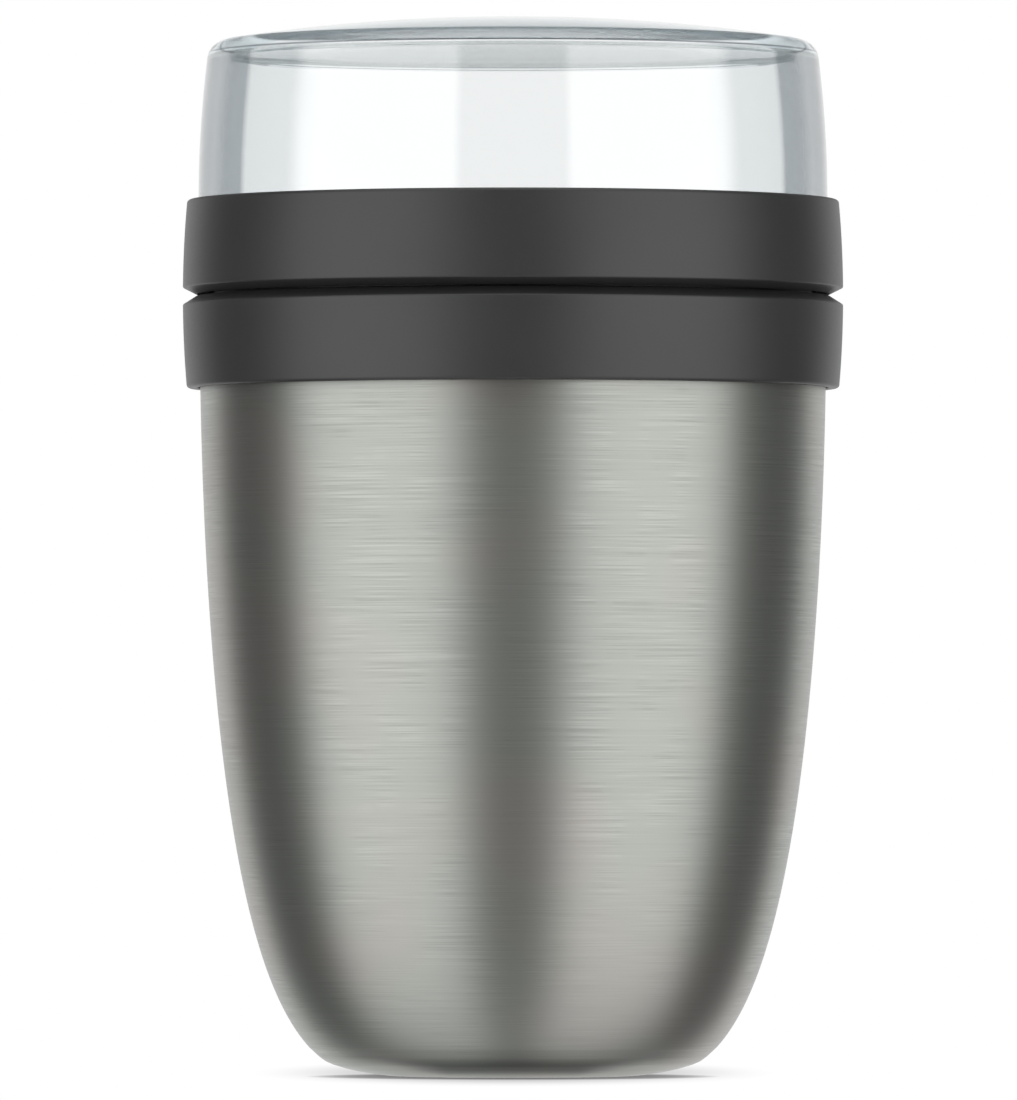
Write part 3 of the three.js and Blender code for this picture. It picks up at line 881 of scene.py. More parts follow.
@dataclass(frozen=True)
class Silicone(Finish):
    """Food silicone, moulded and left unpigmented.

    The eye sees a milky, slightly soft-edged white with a dry low shine and a faint bloom of fine dust.
    """

    pale: str = "dededb"
    dark: str = "cfd0cc"
    bloom: float = 1.2
    roughness: tuple[float, float] = (0.42, 0.62)
    ior: float = 1.41
    glow: float = 0.2
    glow_reach: float = 1.5
    glow_shares: tuple[float, float, float] = (1.0, 0.9, 0.8)

    def dress(self, tree: bpy.types.NodeTree, shader: bpy.types.Node, coords: bpy.types.NodeSocket) -> None:
        """Add the bloom as a change of shade and gloss."""
        bloom = add_node(
            tree, "ShaderNodeTexNoise", {"Vector": coords, "Scale": 1 / self.bloom / MM, "Detail": 3.0}
        ).outputs[0]
        colour = add_node(
            tree,
            "ShaderNodeMix",
            {0: bloom, 6: linear(self.dark), 7: linear(self.pale)},
            data_type="RGBA",
        ).outputs[2]
        gloss = add_node(
            tree,
            "ShaderNodeMapRange",
            {"Value": bloom, "To Min": self.roughness[0], "To Max": self.roughness[1]},
        ).outputs[0]
        shader.inputs["IOR"].default_value = self.ior
        shader.inputs["Subsurface Weight"].default_value = self.glow
        shader.inputs["Subsurface Radius"].default_value = self.glow_shares
        shader.inputs["Subsurface Scale"].default_value = self.glow_reach * MM
        tree.links.new(colour, shader.inputs["Base Color"])
        tree.links.new(gloss, shader.inputs["Roughness"])


@dataclass(frozen=True)
class RigidFoam(Finish):
    """Polystyrene, expanded from beads in a mould.

    The eye sees white beads pressed flat against each other, with fine dark seams between them.
    """

    bead_colour: str = "f0efea"
    seam: str = "d5d4cf"
    bead: float = 2.6
    seam_share: float = 0.12
    seam_depth: float = 0.25
    seam_relief: float = 0.5
    roughness: float = 0.85

    def dress(self, tree: bpy.types.NodeTree, shader: bpy.types.Node, coords: bpy.types.NodeSocket) -> None:
        """Add the beads and their seams."""
        to_seam = add_node(
            tree,
            "ShaderNodeTexVoronoi",
            {"Vector": coords, "Scale": 1 / self.bead / MM},
            feature="DISTANCE_TO_EDGE",
        ).outputs["Distance"]
        body = add_node(
            tree, "ShaderNodeMapRange", {"Value": to_seam, "From Max": self.seam_share}
        ).outputs[0]
        colour = add_node(
            tree,
            "ShaderNodeMix",
            {0: body, 6: linear(self.seam), 7: linear(self.bead_colour)},
            data_type="RGBA",
        ).outputs[2]
        bump = add_node(
            tree,
            "ShaderNodeBump",
            {"Strength": self.seam_relief, "Distance": self.seam_depth * MM, "Height": body},
        ).outputs[0]
        shader.inputs["Roughness"].default_value = self.roughness
        tree.links.new(colour, shader.inputs["Base Color"])
        tree.links.new(bump, shader.inputs["Normal"])


@dataclass(frozen=True)
class FusedGlass(Finish):
    """Solder glass, melted into the vent in the vacuum furnace.

    The eye sees a grey-brown drop with a smooth skin and darker swirls where the frit ran together.
    """

    pale: str = "7a756a"
    dark: str = "625d53"
    swirl: float = 1.5
    swirl_bend: float = 1.2
    roughness: tuple[float, float] = (0.15, 0.35)
    ior: float = 1.7

    def dress(self, tree: bpy.types.NodeTree, shader: bpy.types.Node, coords: bpy.types.NodeSocket) -> None:
        """Add the swirls."""
        swirl = add_node(
            tree,
            "ShaderNodeTexNoise",
            {
                "Vector": coords,
                "Scale": 1 / self.swirl / MM,
                "Detail": 3.0,
                "Distortion": self.swirl_bend,
            },
        ).outputs[0]
        colour = add_node(
            tree,
            "ShaderNodeMix",
            {0: swirl, 6: linear(self.dark), 7: linear(self.pale)},
            data_type="RGBA",
        ).outputs[2]
        gloss = add_node(
            tree,
            "ShaderNodeMapRange",
            {"Value": swirl, "To Min": self.roughness[0], "To Max": self.roughness[1]},
        ).outputs[0]
        shader.inputs["IOR"].default_value = self.ior
        tree.links.new(colour, shader.inputs["Base Color"])
        tree.links.new(gloss, shader.inputs["Roughness"])


@dataclass(frozen=True)
class PressedPowder(Finish):
    """Zirconium alloy powder, pressed into a pellet and sintered.

    The eye sees a dull dark grey with a sandy grain and a few brighter grains.
    """

    pale: str = "6a6b6f"
    dark: str = "48494d"
    grain: float = 0.25
    grain_depth: float = 0.05
    grain_relief: float = 0.6
    metal_share: float = 0.6
    roughness: float = 0.7

    def dress(self, tree: bpy.types.NodeTree, shader: bpy.types.Node, coords: bpy.types.NodeSocket) -> None:
        """Add the grains."""
        grain = add_node(
            tree,
            "ShaderNodeTexNoise",
            {"Vector": coords, "Scale": 1 / self.grain / MM, "Detail": 4.0, "Roughness": 0.7},
        ).outputs[0]
        colour = add_node(
            tree,
            "ShaderNodeMix",
            {0: grain, 6: linear(self.dark), 7: linear(self.pale)},
            data_type="RGBA",
        ).outputs[2]
        bump = add_node(
            tree,
            "ShaderNodeBump",
            {"Strength": self.grain_relief, "Distance": self.grain_depth * MM, "Height": grain},
        ).outputs[0]
        shader.inputs["Metallic"].default_value = self.metal_share
        shader.inputs["Roughness"].default_value = self.roughness
        tree.links.new(colour, shader.inputs["Base Color"])
        tree.links.new(bump, shader.inputs["Normal"])


BRUSHED_STEEL = BrushedSteel("stainless_steel_brushed_round")
DRAWN_STEEL = DrawnSteel("stainless_steel_drawn_and_polished")
DARK_PLASTIC = MouldedPlastic("polypropylene_moulded_matt")
CLEAR_PLASTIC = ClearPlastic("styrene_copolymer_moulded_clear")
SILICONE = Silicone("silicone_moulded")
FOAM = RigidFoam("polystyrene_expanded")
SOLDER_GLASS = FusedGlass("solder_glass_fused")
GETTER_ALLOY = PressedPowder("zirconium_alloy_pressed")


class Workshop:
    """Turns profiles into pieces of the frame, and paints the CAD nodes that stay."""

    segments: ClassVar[int] = 160

    def __init__(self) -> None:
        """Set up the two trees, and look up where each CAD node belongs."""
        self.turned_profile = TurnedProfile()
        self.thread_ridges = ThreadRidges()
        record = frame["record"]
        self.body_of = {node: body for body, nodes in record["behaviour"]["bodies"].items() for node in nodes}
        self.slot_of = {part["node"]: part["material_slot"] for part in record["subparts"]}

    def turn(
        self, name: str, node: str, profile: Profile, finish: Finish, threads: tuple[Thread, ...] = ()
    ) -> None:
        """Make a turned piece that stands for a CAD node.

        Args:
            name: Name of the piece.
            node: CAD node that it replaces, which gives its body.
            profile: Its half section.
            finish: What it is made of.
            threads: Threads raised out of its walls.
        """
        points = [(point.x * MM, 0.0, point.y * MM) for point in profile.outline()]
        line = bpy.data.meshes.new(name)
        line.from_pydata(points, [(i, i + 1) for i in range(len(points) - 1)], [])
        piece = bpy.data.objects.new(name, line)
        bpy.context.scene.collection.objects.link(piece)
        material = finish.material()
        self.turned_profile.put_on(piece, {"Segments": self.segments, "Material": material})
        for thread in threads:
            self.thread_ridges.put_on(piece, {**thread.values(), "Material": material})
        shaped = piece.evaluated_get(bpy.context.evaluated_depsgraph_get())
        mesh = bpy.data.meshes.new_from_object(shaped)
        piece.modifiers.clear()
        piece.data = mesh
        mesh.name = name
        bpy.data.meshes.remove(line)
        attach(piece, self.body_of[node])
        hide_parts(node)
        LOG.info("%s stands for %s: %d faces, %s", name, node, len(mesh.polygons), finish.name)

    def paint(self, node: str, finish: Finish) -> None:
        """Give a CAD node that stays its finish.

        Args:
            node: Name of the CAD node.
            finish: What it is made of.
        """
        shown = frame["nodes"][node]
        for slot in shown.material_slots:
            slot.material = finish.material()
        LOG.info("%s stays as it is: %s", node, finish.name)


@dataclass(frozen=True)
class SteelPot:
    """Vacuum pot: outer shell, inner vessel, and the closed base under them."""

    sheet: float = 0.6
    belly_radius: float = 50.8
    parting_height: float = 126.3
    pole_depth: float = 2.0
    belly_power: float = 5.3
    vacuum_gap: float = 4.0
    foot_rise: float = 2.3
    foot_blend: float = 8.0
    stand_share: float = 0.56
    foot_width: float = 5.0
    shoulder_low: float = 113.0
    shoulder_high: float = 117.5
    neck_radius: float = 47.0
    vessel_neck: float = 46.1
    vessel_floor: float = 8.0
    lip_radius: float = 48.0
    lip_under: float = 131.9
    lip_bend: float = 0.9
    cover_gap: float = 0.3
    cover_under: float = 0.2
    cover_steps: int = 8
    wall_start: float = 2.4
    wall_crowding: float = 2.4
    outer_steps: int = 60
    inner_steps: int = 40
    vessel_steps: int = 56
    foot_steps: int = 12
    blend_steps: int = 3

    def belly(self, height: float, inset: float = 0.0) -> float:
        """Radius of the pot's outside at a height, or of the inside of its sheet."""
        along = (self.parting_height - height) / (self.parting_height + self.pole_depth - inset)
        return (self.belly_radius - inset) * (1 - along**2) ** (1 / self.belly_power)

    def vessel(self, height: float, inset: float = 0.0) -> float:
        """Radius of the inner vessel's outside at a height, or of its inside."""
        along = (self.parting_height - height) / (self.parting_height - self.vessel_floor - inset)
        widest = self.belly_radius - self.sheet - self.vacuum_gap - inset
        return widest * max(0.0, 1 - along**2) ** (1 / self.belly_power)

    def rising(self, low: float, high: float, steps: int) -> list[float]:
        """Heights that crowd towards the low end, where the foot curves most."""
        return [low + (high - low) * (i / steps) ** self.wall_crowding for i in range(steps + 1)]

    def stand(self) -> float:
        """Outer radius of the flat ring that the pot stands on."""
        return self.stand_share * self.belly(self.foot_rise)

    def underside(self, inset: float = 0.0) -> list[tuple[float, float]]:
        """Sample the rounded underside.

        Args:
            inset: Distance in from its outer face.

        Returns:
            Points from the standing flat out to the belly.
        """
        turn = self.belly(self.foot_rise) - self.stand()
        bend = (turn**2 + self.foot_rise**2) / (2 * self.foot_rise)
        end = math.degrees(math.asin(turn / bend))
        return arc((self.stand(), bend), bend - inset, -90, end - 90, self.foot_steps)

    def shell(self) -> Profile:
        """Outer wall with its rounded underside and its neck."""
        sheet = self.sheet
        foot_bore = self.stand() - self.foot_width
        neck_bore = self.neck_radius - sheet
        outer_low = self.foot_rise + self.wall_start
        outer_heights = self.rising(outer_low, self.shoulder_low, self.outer_steps)
        outside = [(self.belly(height), height) for height in outer_heights]
        inner_heights = self.rising(self.foot_rise + sheet, self.shoulder_low, self.inner_steps)
        inside = [(self.belly(height, sheet), height) for height in inner_heights]
        profile = Profile().to(foot_bore, 0.0, Round.EASED).along(self.underside()[: -self.blend_steps])
        profile.to(*self.underside()[-1], self.foot_blend)
        profile.along(outside[:-1]).to(*outside[-1], Round.SWEPT)
        profile.to(self.neck_radius, self.shoulder_high, Round.BENT)
        profile.to(self.neck_radius, self.lip_under, Round.SHEARED)
        profile.to(neck_bore, self.lip_under, Round.SHEARED)
        profile.to(neck_bore, self.shoulder_high, Round.SWEPT).to(*inside[-1], Round.BENT)
        profile.along(reversed(inside[:-1])).along(reversed(self.underside(sheet)[:-1]))
        return profile.to(foot_bore, sheet, Round.EASED)

    def vessel_wall(self) -> Profile:
        """Inner wall, one deep drawn cup with its rim rolled out over the neck."""
        sheet = self.sheet
        mouth = self.vessel_neck - sheet
        rim_top = self.lip_under + sheet
        inner_floor = self.vessel_floor + sheet
        outer_heights = self.rising(self.vessel_floor, self.shoulder_low, self.vessel_steps)
        outside = [(self.vessel(height), height) for height in outer_heights]
        inner_heights = self.rising(inner_floor, self.shoulder_low, self.vessel_steps)
        inside = [(self.vessel(height, sheet), height) for height in inner_heights]
        profile = Profile().along(outside[:-1]).to(*outside[-1], Round.BROAD)
        profile.to(self.vessel_neck, self.shoulder_high, Round.BROAD)
        profile.to(self.vessel_neck, self.lip_under, Round.SOFT)
        profile.to(self.lip_radius, self.lip_under, Round.ROLLED).to(self.lip_radius, rim_top, Round.ROLLED)
        profile.to(mouth, rim_top, self.lip_bend).to(mouth, self.shoulder_high, Round.BROAD)
        return profile.to(*inside[-1], Round.BROAD).along(reversed(inside[:-1]))

    def cover(self) -> Profile:
        """Thin disc under the base."""
        under, top = self.cover_under, self.sheet
        radius = self.stand() - self.foot_width - self.cover_gap
        steps = self.cover_steps
        profile = Profile().to(0.0, under).along([(radius * i / steps, under) for i in range(1, steps)])
        return profile.to(radius, under, Round.DEBURRED).to(radius, top, Round.SHEARED).to(0.0, top)

    def build(self, shop: Workshop) -> None:
        """Make the pieces that show."""
        shop.turn("steel_shell", "outer_shell", self.shell(), BRUSHED_STEEL)
        shop.turn("steel_vessel", "inner_vessel", self.vessel_wall(), DRAWN_STEEL)
        shop.turn("steel_base_cover", "base_cover", self.cover(), BRUSHED_STEEL)

    def dress(self, shop: Workshop) -> None:
        """Paint the nodes that close the vacuum inside the base."""
        shop.paint("base_plate", DRAWN_STEEL)
        shop.paint("getter_clip", DRAWN_STEEL)
        shop.paint("seal_bead", SOLDER_GLASS)
        shop.paint("getter_pellet", GETTER_ALLOY)


@dataclass(frozen=True)
class DarkRing:
    """Sizes that the pot's collar and the lid share, so that the two rings look like one pair."""

    radius: float = 53.5
    side_arc: float = 170.0
    parting_height: float = 126.3
    groove_radius: float = 51.3
    groove_rise: float = 1.4
    groove_round: float = 0.35
    edge_round: float = 0.6
    side_steps: int = 7
    floor_under: float = 133.9

    def side(self, height: float) -> float:
        """Radius of the rings' barrel-shaped side at a height."""
        return self.radius - (height - self.parting_height) ** 2 / (2 * self.side_arc)


@dataclass(frozen=True)
class Collar(DarkRing):
    """Lower dark ring with the threaded neck, and the gasket under it."""

    low: float = 111.4
    top: float = 131.8
    bore: float = 47.3
    skirt_bore: float = 51.07
    skirt_under: float = 114.64
    bore_under: float = 119.06
    thread: Thread = Thread(root=48.4, crest=50.3, low=127.2, thickness=1.4, arc=60, start=0)

    def ring(self) -> Profile:
        """Half section of the ring and its neck."""
        high = self.parting_height - self.groove_rise
        side = run(self.side, self.low, high, self.side_steps)
        profile = Profile((self.thread.root,)).to(self.skirt_bore, self.low)
        profile.to(*side[0], self.edge_round).along(side[1:-1]).to(*side[-1], self.groove_round)
        profile.to(self.groove_radius, self.parting_height, Round.SOFT)
        profile.to(self.thread.root, self.parting_height)
        profile.to(self.thread.root, self.top, Round.FINE).to(self.bore, self.top, Round.FINE)
        return profile.to(self.bore, self.bore_under, Round.FINE).to(self.skirt_bore, self.skirt_under)

    def build(self, shop: Workshop) -> None:
        """Make the ring."""
        shop.turn("collar_moulding", "pot_collar", self.ring(), DARK_PLASTIC, (self.thread,))

    def dress(self, shop: Workshop) -> None:
        """Paint the gasket, which the collar hides."""
        shop.paint("collar_gasket", SILICONE)


@dataclass(frozen=True)
class Lid(DarkRing):
    """Upper dark ring with the lid's floor, the plug under it, and the seal on the pot's rim."""

    skirt_low: float = 126.6
    skirt_bore: float = 50.9
    keeper_bore: float = 48.6
    keeper_radius: float = 49.5
    keeper_low: float = 133.0
    floor_top: float = 135.9
    top: float = 141.9
    socket_bore: float = 51.284
    plug_radius: float = 43.9
    plug_wall: float = 1.6
    plug_bottom: float = 122.9
    plug_chamfer: float = 1.5
    plug_bead: float = 0.9
    bead_top: float = 132.5
    seal_bore: float = 44.2
    seal_radius: float = 48.3
    seal_low: float = 132.6
    seal_high: float = 133.8
    neck_lug: Thread = Thread(root=50.9, crest=49.0, low=126.7, thickness=1.4, arc=32, start=24)
    cup_lug: Thread = Thread(root=51.284, crest=50.084, low=138.95, thickness=1.0, arc=25, start=5)

    def ring(self) -> Profile:
        """Half section of the ring and the floor that closes it."""
        side = run(self.side, self.parting_height + self.groove_rise, self.top, self.side_steps)
        profile = Profile((self.skirt_bore, self.socket_bore)).to(0.0, self.floor_under)
        profile.to(self.keeper_bore, self.floor_under).to(self.keeper_bore, self.keeper_low)
        profile.to(self.keeper_radius, self.keeper_low).to(self.keeper_radius, self.floor_under)
        profile.to(self.skirt_bore, self.floor_under, Round.SOFT)
        profile.to(self.skirt_bore, self.skirt_low, Round.FINE)
        profile.to(self.groove_radius, self.skirt_low, Round.FINE).to(*side[0], self.groove_round)
        profile.along(side[1:-1]).to(*side[-1], self.edge_round)
        profile.to(self.socket_bore, self.top, Round.SOFT).to(self.socket_bore, self.floor_top, Round.BROAD)
        return profile.to(0.0, self.floor_top)

    def plug(self) -> Profile:
        """Half section of the dish that plugs the mouth."""
        bore = self.plug_radius - self.plug_wall
        inner_floor = self.plug_bottom + self.plug_wall
        profile = Profile().to(0.0, self.plug_bottom)
        profile.to(self.plug_radius - self.plug_chamfer, self.plug_bottom, Round.BLENDED)
        profile.to(self.plug_radius, self.plug_bottom + self.plug_chamfer, Round.BLENDED)
        profile.to(self.plug_radius, self.bead_top - self.plug_bead, Round.SOFT)
        profile.to(self.plug_radius + self.plug_bead, self.bead_top, Round.EASED)
        profile.to(self.plug_radius, self.bead_top, Round.FINE)
        profile.to(self.plug_radius, self.floor_under, Round.FINE).to(bore, self.floor_under, Round.FINE)
        return profile.to(bore, inner_floor, Round.FULL).to(0.0, inner_floor)

    def seal(self) -> Profile:
        """Half section of the flat ring that presses on the rim."""
        profile = Profile().to(self.seal_bore, self.seal_low, Round.EASED)
        profile.to(self.seal_radius, self.seal_low, Round.EASED)
        profile.to(self.seal_radius, self.seal_high, Round.EASED)
        return profile.to(self.seal_bore, self.seal_high, Round.EASED)

    def build(self, shop: Workshop) -> None:
        """Make the pieces that show."""
        threads = (self.neck_lug, self.cup_lug)
        shop.turn("lid_moulding", "lid_ring", self.ring(), DARK_PLASTIC, threads)
        shop.turn("plug_dish", "lid_plug", self.plug(), DARK_PLASTIC)
        shop.turn("rim_seal", "pot_seal", self.seal(), SILICONE)

    def dress(self, shop: Workshop) -> None:
        """Paint the foam, which the plug hides."""
        shop.paint("insulation_disc", FOAM)


@dataclass(frozen=True)
class Cup:
    """Clear cup, upside down on the lid, and the seal under its rim."""

    rim: float = 137.1
    bore: float = 47.384
    shoulder: float = 141.5
    side_low: float = 141.9
    radius: float = 50.984
    side_arc: float = 185.0
    wall: float = 3.6
    top: float = 2.6
    corner_low: float = 164.4
    corner: float = 3.4
    inner_corner: float = 0.8
    crown: float = 3.5
    groove_in: float = 47.734
    groove_out: float = 49.334
    groove_top: float = 138.4
    seal_low: float = 136.0
    seal_high: float = 137.0
    rib_in: float = 48.034
    rib_out: float = 49.034
    rib_top: float = 138.0
    side_steps: int = 16
    corner_steps: int = 16
    inner_corner_steps: int = 8
    ceiling_steps: int = 16
    crown_steps: int = 24
    thread: Thread = Thread(root=49.684, crest=50.884, low=137.4, thickness=1.0, arc=40, start=0)

    def side(self, height: float) -> float:
        """Radius of the outside at a height."""
        return self.radius - (height - self.side_low) ** 2 / (2 * self.side_arc)

    def body(self) -> Profile:
        """Half section of the cup: ceiling, bore, rim with its groove, spigot, side, corner and crown."""
        corner = self.side(self.corner_low) - self.corner
        over = self.corner + self.crown
        crown_radius = (corner**2 + over**2 - self.corner**2) / (2 * self.crown)
        centre = (0.0, self.corner_low + over - crown_radius)
        edge = math.degrees(math.acos(corner / (crown_radius - self.corner)))
        ceiling = crown_radius - self.top
        inner = self.side(self.corner_low) - self.wall - self.inner_corner
        inner_edge = math.degrees(math.acos(inner / (ceiling - self.inner_corner)))
        inner_low = centre[1] + inner * math.tan(math.radians(inner_edge))
        side = run(self.side, self.side_low, self.corner_low, self.side_steps)
        bore = run(lambda height: self.side(height) - self.wall, self.side_low, inner_low, self.side_steps)

        profile = Profile((self.thread.root,)).to(0.0, centre[1] + ceiling)
        profile.along(arc(centre, ceiling, 90, inner_edge, self.ceiling_steps)[1:-1])
        profile.along(arc((inner, inner_low), self.inner_corner, inner_edge, 0, self.inner_corner_steps))
        profile.along(reversed(bore[:-1])).to(self.bore, self.rim, Round.SOFT)
        profile.to(self.groove_in, self.rim, Round.LAND).to(self.groove_in, self.groove_top)
        profile.to(self.groove_out, self.groove_top).to(self.groove_out, self.rim, Round.LAND)
        profile.to(self.thread.root, self.rim, Round.LAND).to(self.thread.root, self.shoulder, Round.SOFT)
        profile.to(self.radius, self.shoulder, Round.SOFT).along(side)
        profile.along(arc((corner, self.corner_low), self.corner, 0, edge, self.corner_steps)[1:])
        profile.along(arc(centre, crown_radius, edge, 90, self.crown_steps)[1:-1])
        return profile.to(0.0, centre[1] + crown_radius)

    def seal(self) -> Profile:
        """Half section of the ring under the rim, with the rib that holds it."""
        profile = Profile().to(self.bore, self.seal_low, Round.EASED)
        profile.to(self.thread.root, self.seal_low, Round.EASED).to(self.thread.root, self.seal_high)
        profile.to(self.rib_out, self.seal_high).to(self.rib_out, self.rib_top, Round.SOFT)
        profile.to(self.rib_in, self.rib_top, Round.SOFT).to(self.rib_in, self.seal_high)
        return profile.to(self.bore, self.seal_high)

    def build(self, shop: Workshop) -> None:
        """Make the cup and its seal."""
        shop.turn("cup_moulding", "clear_cup", self.body(), CLEAR_PLASTIC, (self.thread,))
        shop.turn("cup_rim_seal", "cup_seal", self.seal(), SILICONE)


@dataclass(frozen=True)
class Studio:
    """Camera, white floor and a light tent.

    Two tall soft lights stand in front with a dark gap between them. Dark flags stand beside them, a bright
    backdrop behind and a soft light overhead. Lower down the flags turn into a paler table, which is nearly
    black behind and under the pot. A strength of 1 is white.

    An edge is the pair of angles, in degrees, over which one part of the tent fades into the next. front_edge
    and side_edge are measured round the pot from the camera, back_edge and behind_edge off the middle of the
    backdrop, end_edge both up and down from the horizon, and the others up from it. Below the horizon, drop
    lets the backdrop hang lower than it is wide. foot_light is the share of the tent that the steel mirrors
    through the floor in a short ring at the front of the foot, a painted shade that stands in for the pot's
    own shadow there.
    """

    eye: tuple[float, float, float] = (-0.73, -2560.0, 42.0)
    aim: tuple[float, float, float] = (-0.73, 0.0, 85.2)
    view_angle: float = 3.986
    view_reach: float = 50000.0
    dark: float = 0.12
    table: float = 0.26
    under_foot: float = 0.02
    soft_light: float = 1.62
    soft_ends: float = 0.42
    backdrop: float = 0.98
    over_backdrop: float = 0.3
    overhead: float = 1.6
    front_edge: tuple[float, float] = (18.0, 23.0)
    side_edge: tuple[float, float] = (82.0, 92.0)
    back_edge: tuple[float, float] = (35.0, 50.0)
    drop: float = 0.65
    sky_edge: tuple[float, float] = (6.0, 22.0)
    end_edge: tuple[float, float] = (14.0, 38.0)
    table_edge: tuple[float, float] = (-60.0, -15.0)
    under_edge: tuple[float, float] = (-45.0, -15.0)
    behind_edge: tuple[float, float] = (62.0, 88.0)
    top_edge: tuple[float, float] = (45.0, 70.0)
    floor_size: float = 12000.0
    floor_drop: float = 0.05
    floor_colour: str = "e6e6e6"
    contact_reach: float = 4.0
    contact_samples: int = 12
    contact_light: float = 0.35
    # Painted shadow: these shape a soft shadow painted on the floor round and behind the foot.
    shadow_size: tuple[float, float] = (37.0, 120.0)
    shadow_behind: float = 40.0
    shadow_range: tuple[float, float] = (0.2, 1.2)
    shadow_light: float = 0.35
    foot_radius: float = 28.3
    foot_width: float = 7.5
    foot_light: float = 0.12
    foot_front: tuple[float, float] = (-27.0, -18.0)
    light_bounces: int = 64

    def plain_rays(self, tree: bpy.types.NodeTree) -> bpy.types.NodeSocket:
        """Pick out the rays that see plain white.

        Args:
            tree: Tree that gets the nodes.

        Returns:
            1 for the camera's own rays and for those that come through the cup.
        """
        path = add_node(tree, "ShaderNodeLightPath").outputs
        return add_node(
            tree,
            "ShaderNodeMath",
            {0: path["Is Camera Ray"], 1: path["Is Transmission Ray"]},
            operation="MAXIMUM",
        ).outputs[0]

    def place_camera(self) -> None:
        """Put the camera where the photograph was taken from."""
        lens = bpy.data.cameras.new("camera")
        lens.sensor_fit = "VERTICAL"
        lens.angle = math.radians(self.view_angle)
        lens.clip_end = self.view_reach * MM
        camera = bpy.data.objects.new("camera", lens)
        camera.location = Vector(self.eye) * MM
        camera.rotation_euler = (Vector(self.aim) - Vector(self.eye)).to_track_quat("-Z", "Y").to_euler()
        bpy.context.scene.collection.objects.link(camera)
        bpy.context.scene.camera = camera

    def hang_tent(self) -> None:
        """Light the pot from a world of soft vertical bands, and show the camera plain white."""
        world = bpy.data.worlds.new("light_tent")
        world.use_nodes = True
        bpy.context.scene.world = world
        tree = world.node_tree
        tree.nodes.clear()
        way = add_node(tree, "ShaderNodeTexCoord").outputs["Generated"]
        part = add_node(tree, "ShaderNodeSeparateXYZ", {0: way}).outputs
        ahead = add_node(tree, "ShaderNodeMath", {0: part["Y"], 1: -1.0}, operation="MULTIPLY").outputs[0]
        turn = add_node(tree, "ShaderNodeMath", {0: part["X"], 1: ahead}, operation="ARCTAN2").outputs[0]
        aside = add_node(tree, "ShaderNodeMath", {0: turn}, operation="ABSOLUTE").outputs[0]
        rise = add_node(tree, "ShaderNodeMath", {0: part["Z"]}, operation="ARCSINE").outputs[0]
        slope = add_node(tree, "ShaderNodeMath", {0: rise}, operation="ABSOLUTE").outputs[0]
        low = add_node(tree, "ShaderNodeMath", {0: part["Z"], 1: 0.0}, operation="MINIMUM").outputs[0]
        below = add_node(tree, "ShaderNodeMath", {0: low, 1: self.drop}, operation="MULTIPLY").outputs[0]
        low_way = add_node(
            tree, "ShaderNodeCombineXYZ", {"X": part["X"], "Y": part["Y"], "Z": below}
        ).outputs[0]
        low_part = add_node(tree, "ShaderNodeVectorMath", {0: low_way}, operation="NORMALIZE").outputs[0]
        backwards = add_node(tree, "ShaderNodeSeparateXYZ", {0: low_part}).outputs["Y"]
        off_back = add_node(tree, "ShaderNodeMath", {0: backwards}, operation="ARCCOSINE").outputs[0]

        steps = {
            "front": (aside, self.front_edge, 0.0, 1.0),
            "side": (aside, self.side_edge, 1.0, 0.0),
            "back": (off_back, self.back_edge, 1.0, 0.0),
            "behind": (off_back, self.behind_edge, 1.0, 0.0),
            "under": (rise, self.under_edge, 1.0, 0.0),
            "flag": (rise, self.table_edge, self.table, self.dark),
            "sky": (rise, self.sky_edge, self.backdrop, self.over_backdrop),
            "ends": (slope, self.end_edge, self.soft_light, self.soft_light * self.soft_ends),
            "top": (rise, self.top_edge, 0.0, 1.0),
        }
        band: dict[str, bpy.types.NodeSocket] = {}
        for name, (value, edge, before, after) in steps.items():
            band[name] = add_node(
                tree,
                "ShaderNodeMapRange",
                {
                    "Value": value,
                    "From Min": math.radians(edge[0]),
                    "From Max": math.radians(edge[1]),
                    "To Min": before,
                    "To Max": after,
                },
                interpolation_type=Blur.SOFT.value,
            ).outputs[0]
        between = add_node(
            tree, "ShaderNodeMath", {0: band["front"], 1: band["side"]}, operation="MULTIPLY"
        ).outputs[0]
        shaded = add_node(
            tree, "ShaderNodeMath", {0: band["behind"], 1: band["under"]}, operation="MULTIPLY"
        ).outputs[0]
        around = add_node(
            tree, "ShaderNodeMix", {0: shaded, 2: band["flag"], 3: self.under_foot}
        ).outputs[0]
        ground = add_node(tree, "ShaderNodeMix", {0: band["back"], 2: around, 3: band["sky"]}).outputs[0]
        level = add_node(
            tree, "ShaderNodeMath", {0: between, 1: band["ends"], 2: ground}, operation="MULTIPLY_ADD"
        ).outputs[0]
        light = add_node(tree, "ShaderNodeMix", {0: band["top"], 2: level, 3: self.overhead}).outputs[0]
        tent = add_node(tree, "ShaderNodeBackground", {"Color": (1, 1, 1, 1), "Strength": light}).outputs[0]
        white = add_node(tree, "ShaderNodeBackground", {"Color": (1, 1, 1, 1), "Strength": 1.0}).outputs[0]
        plain = self.plain_rays(tree)
        seen = add_node(tree, "ShaderNodeMixShader", {0: plain, 1: tent, 2: white}).outputs[0]
        add_node(tree, "ShaderNodeOutputWorld", {"Surface": seen})

    def lay_floor(self) -> None:
        """Lay a white floor with a painted soft shadow round the pot's foot."""
        half = self.floor_size / 2 * MM
        mesh = bpy.data.meshes.new("floor")
        corners = [(-half, -half, 0.0), (half, -half, 0.0), (half, half, 0.0), (-half, half, 0.0)]
        mesh.from_pydata(corners, [], [(0, 1, 2, 3)])
        floor = bpy.data.objects.new("floor", mesh)
        floor.location.z = -self.floor_drop * MM
        bpy.context.scene.collection.objects.link(floor)
        mesh.materials.append(self.floor_material())

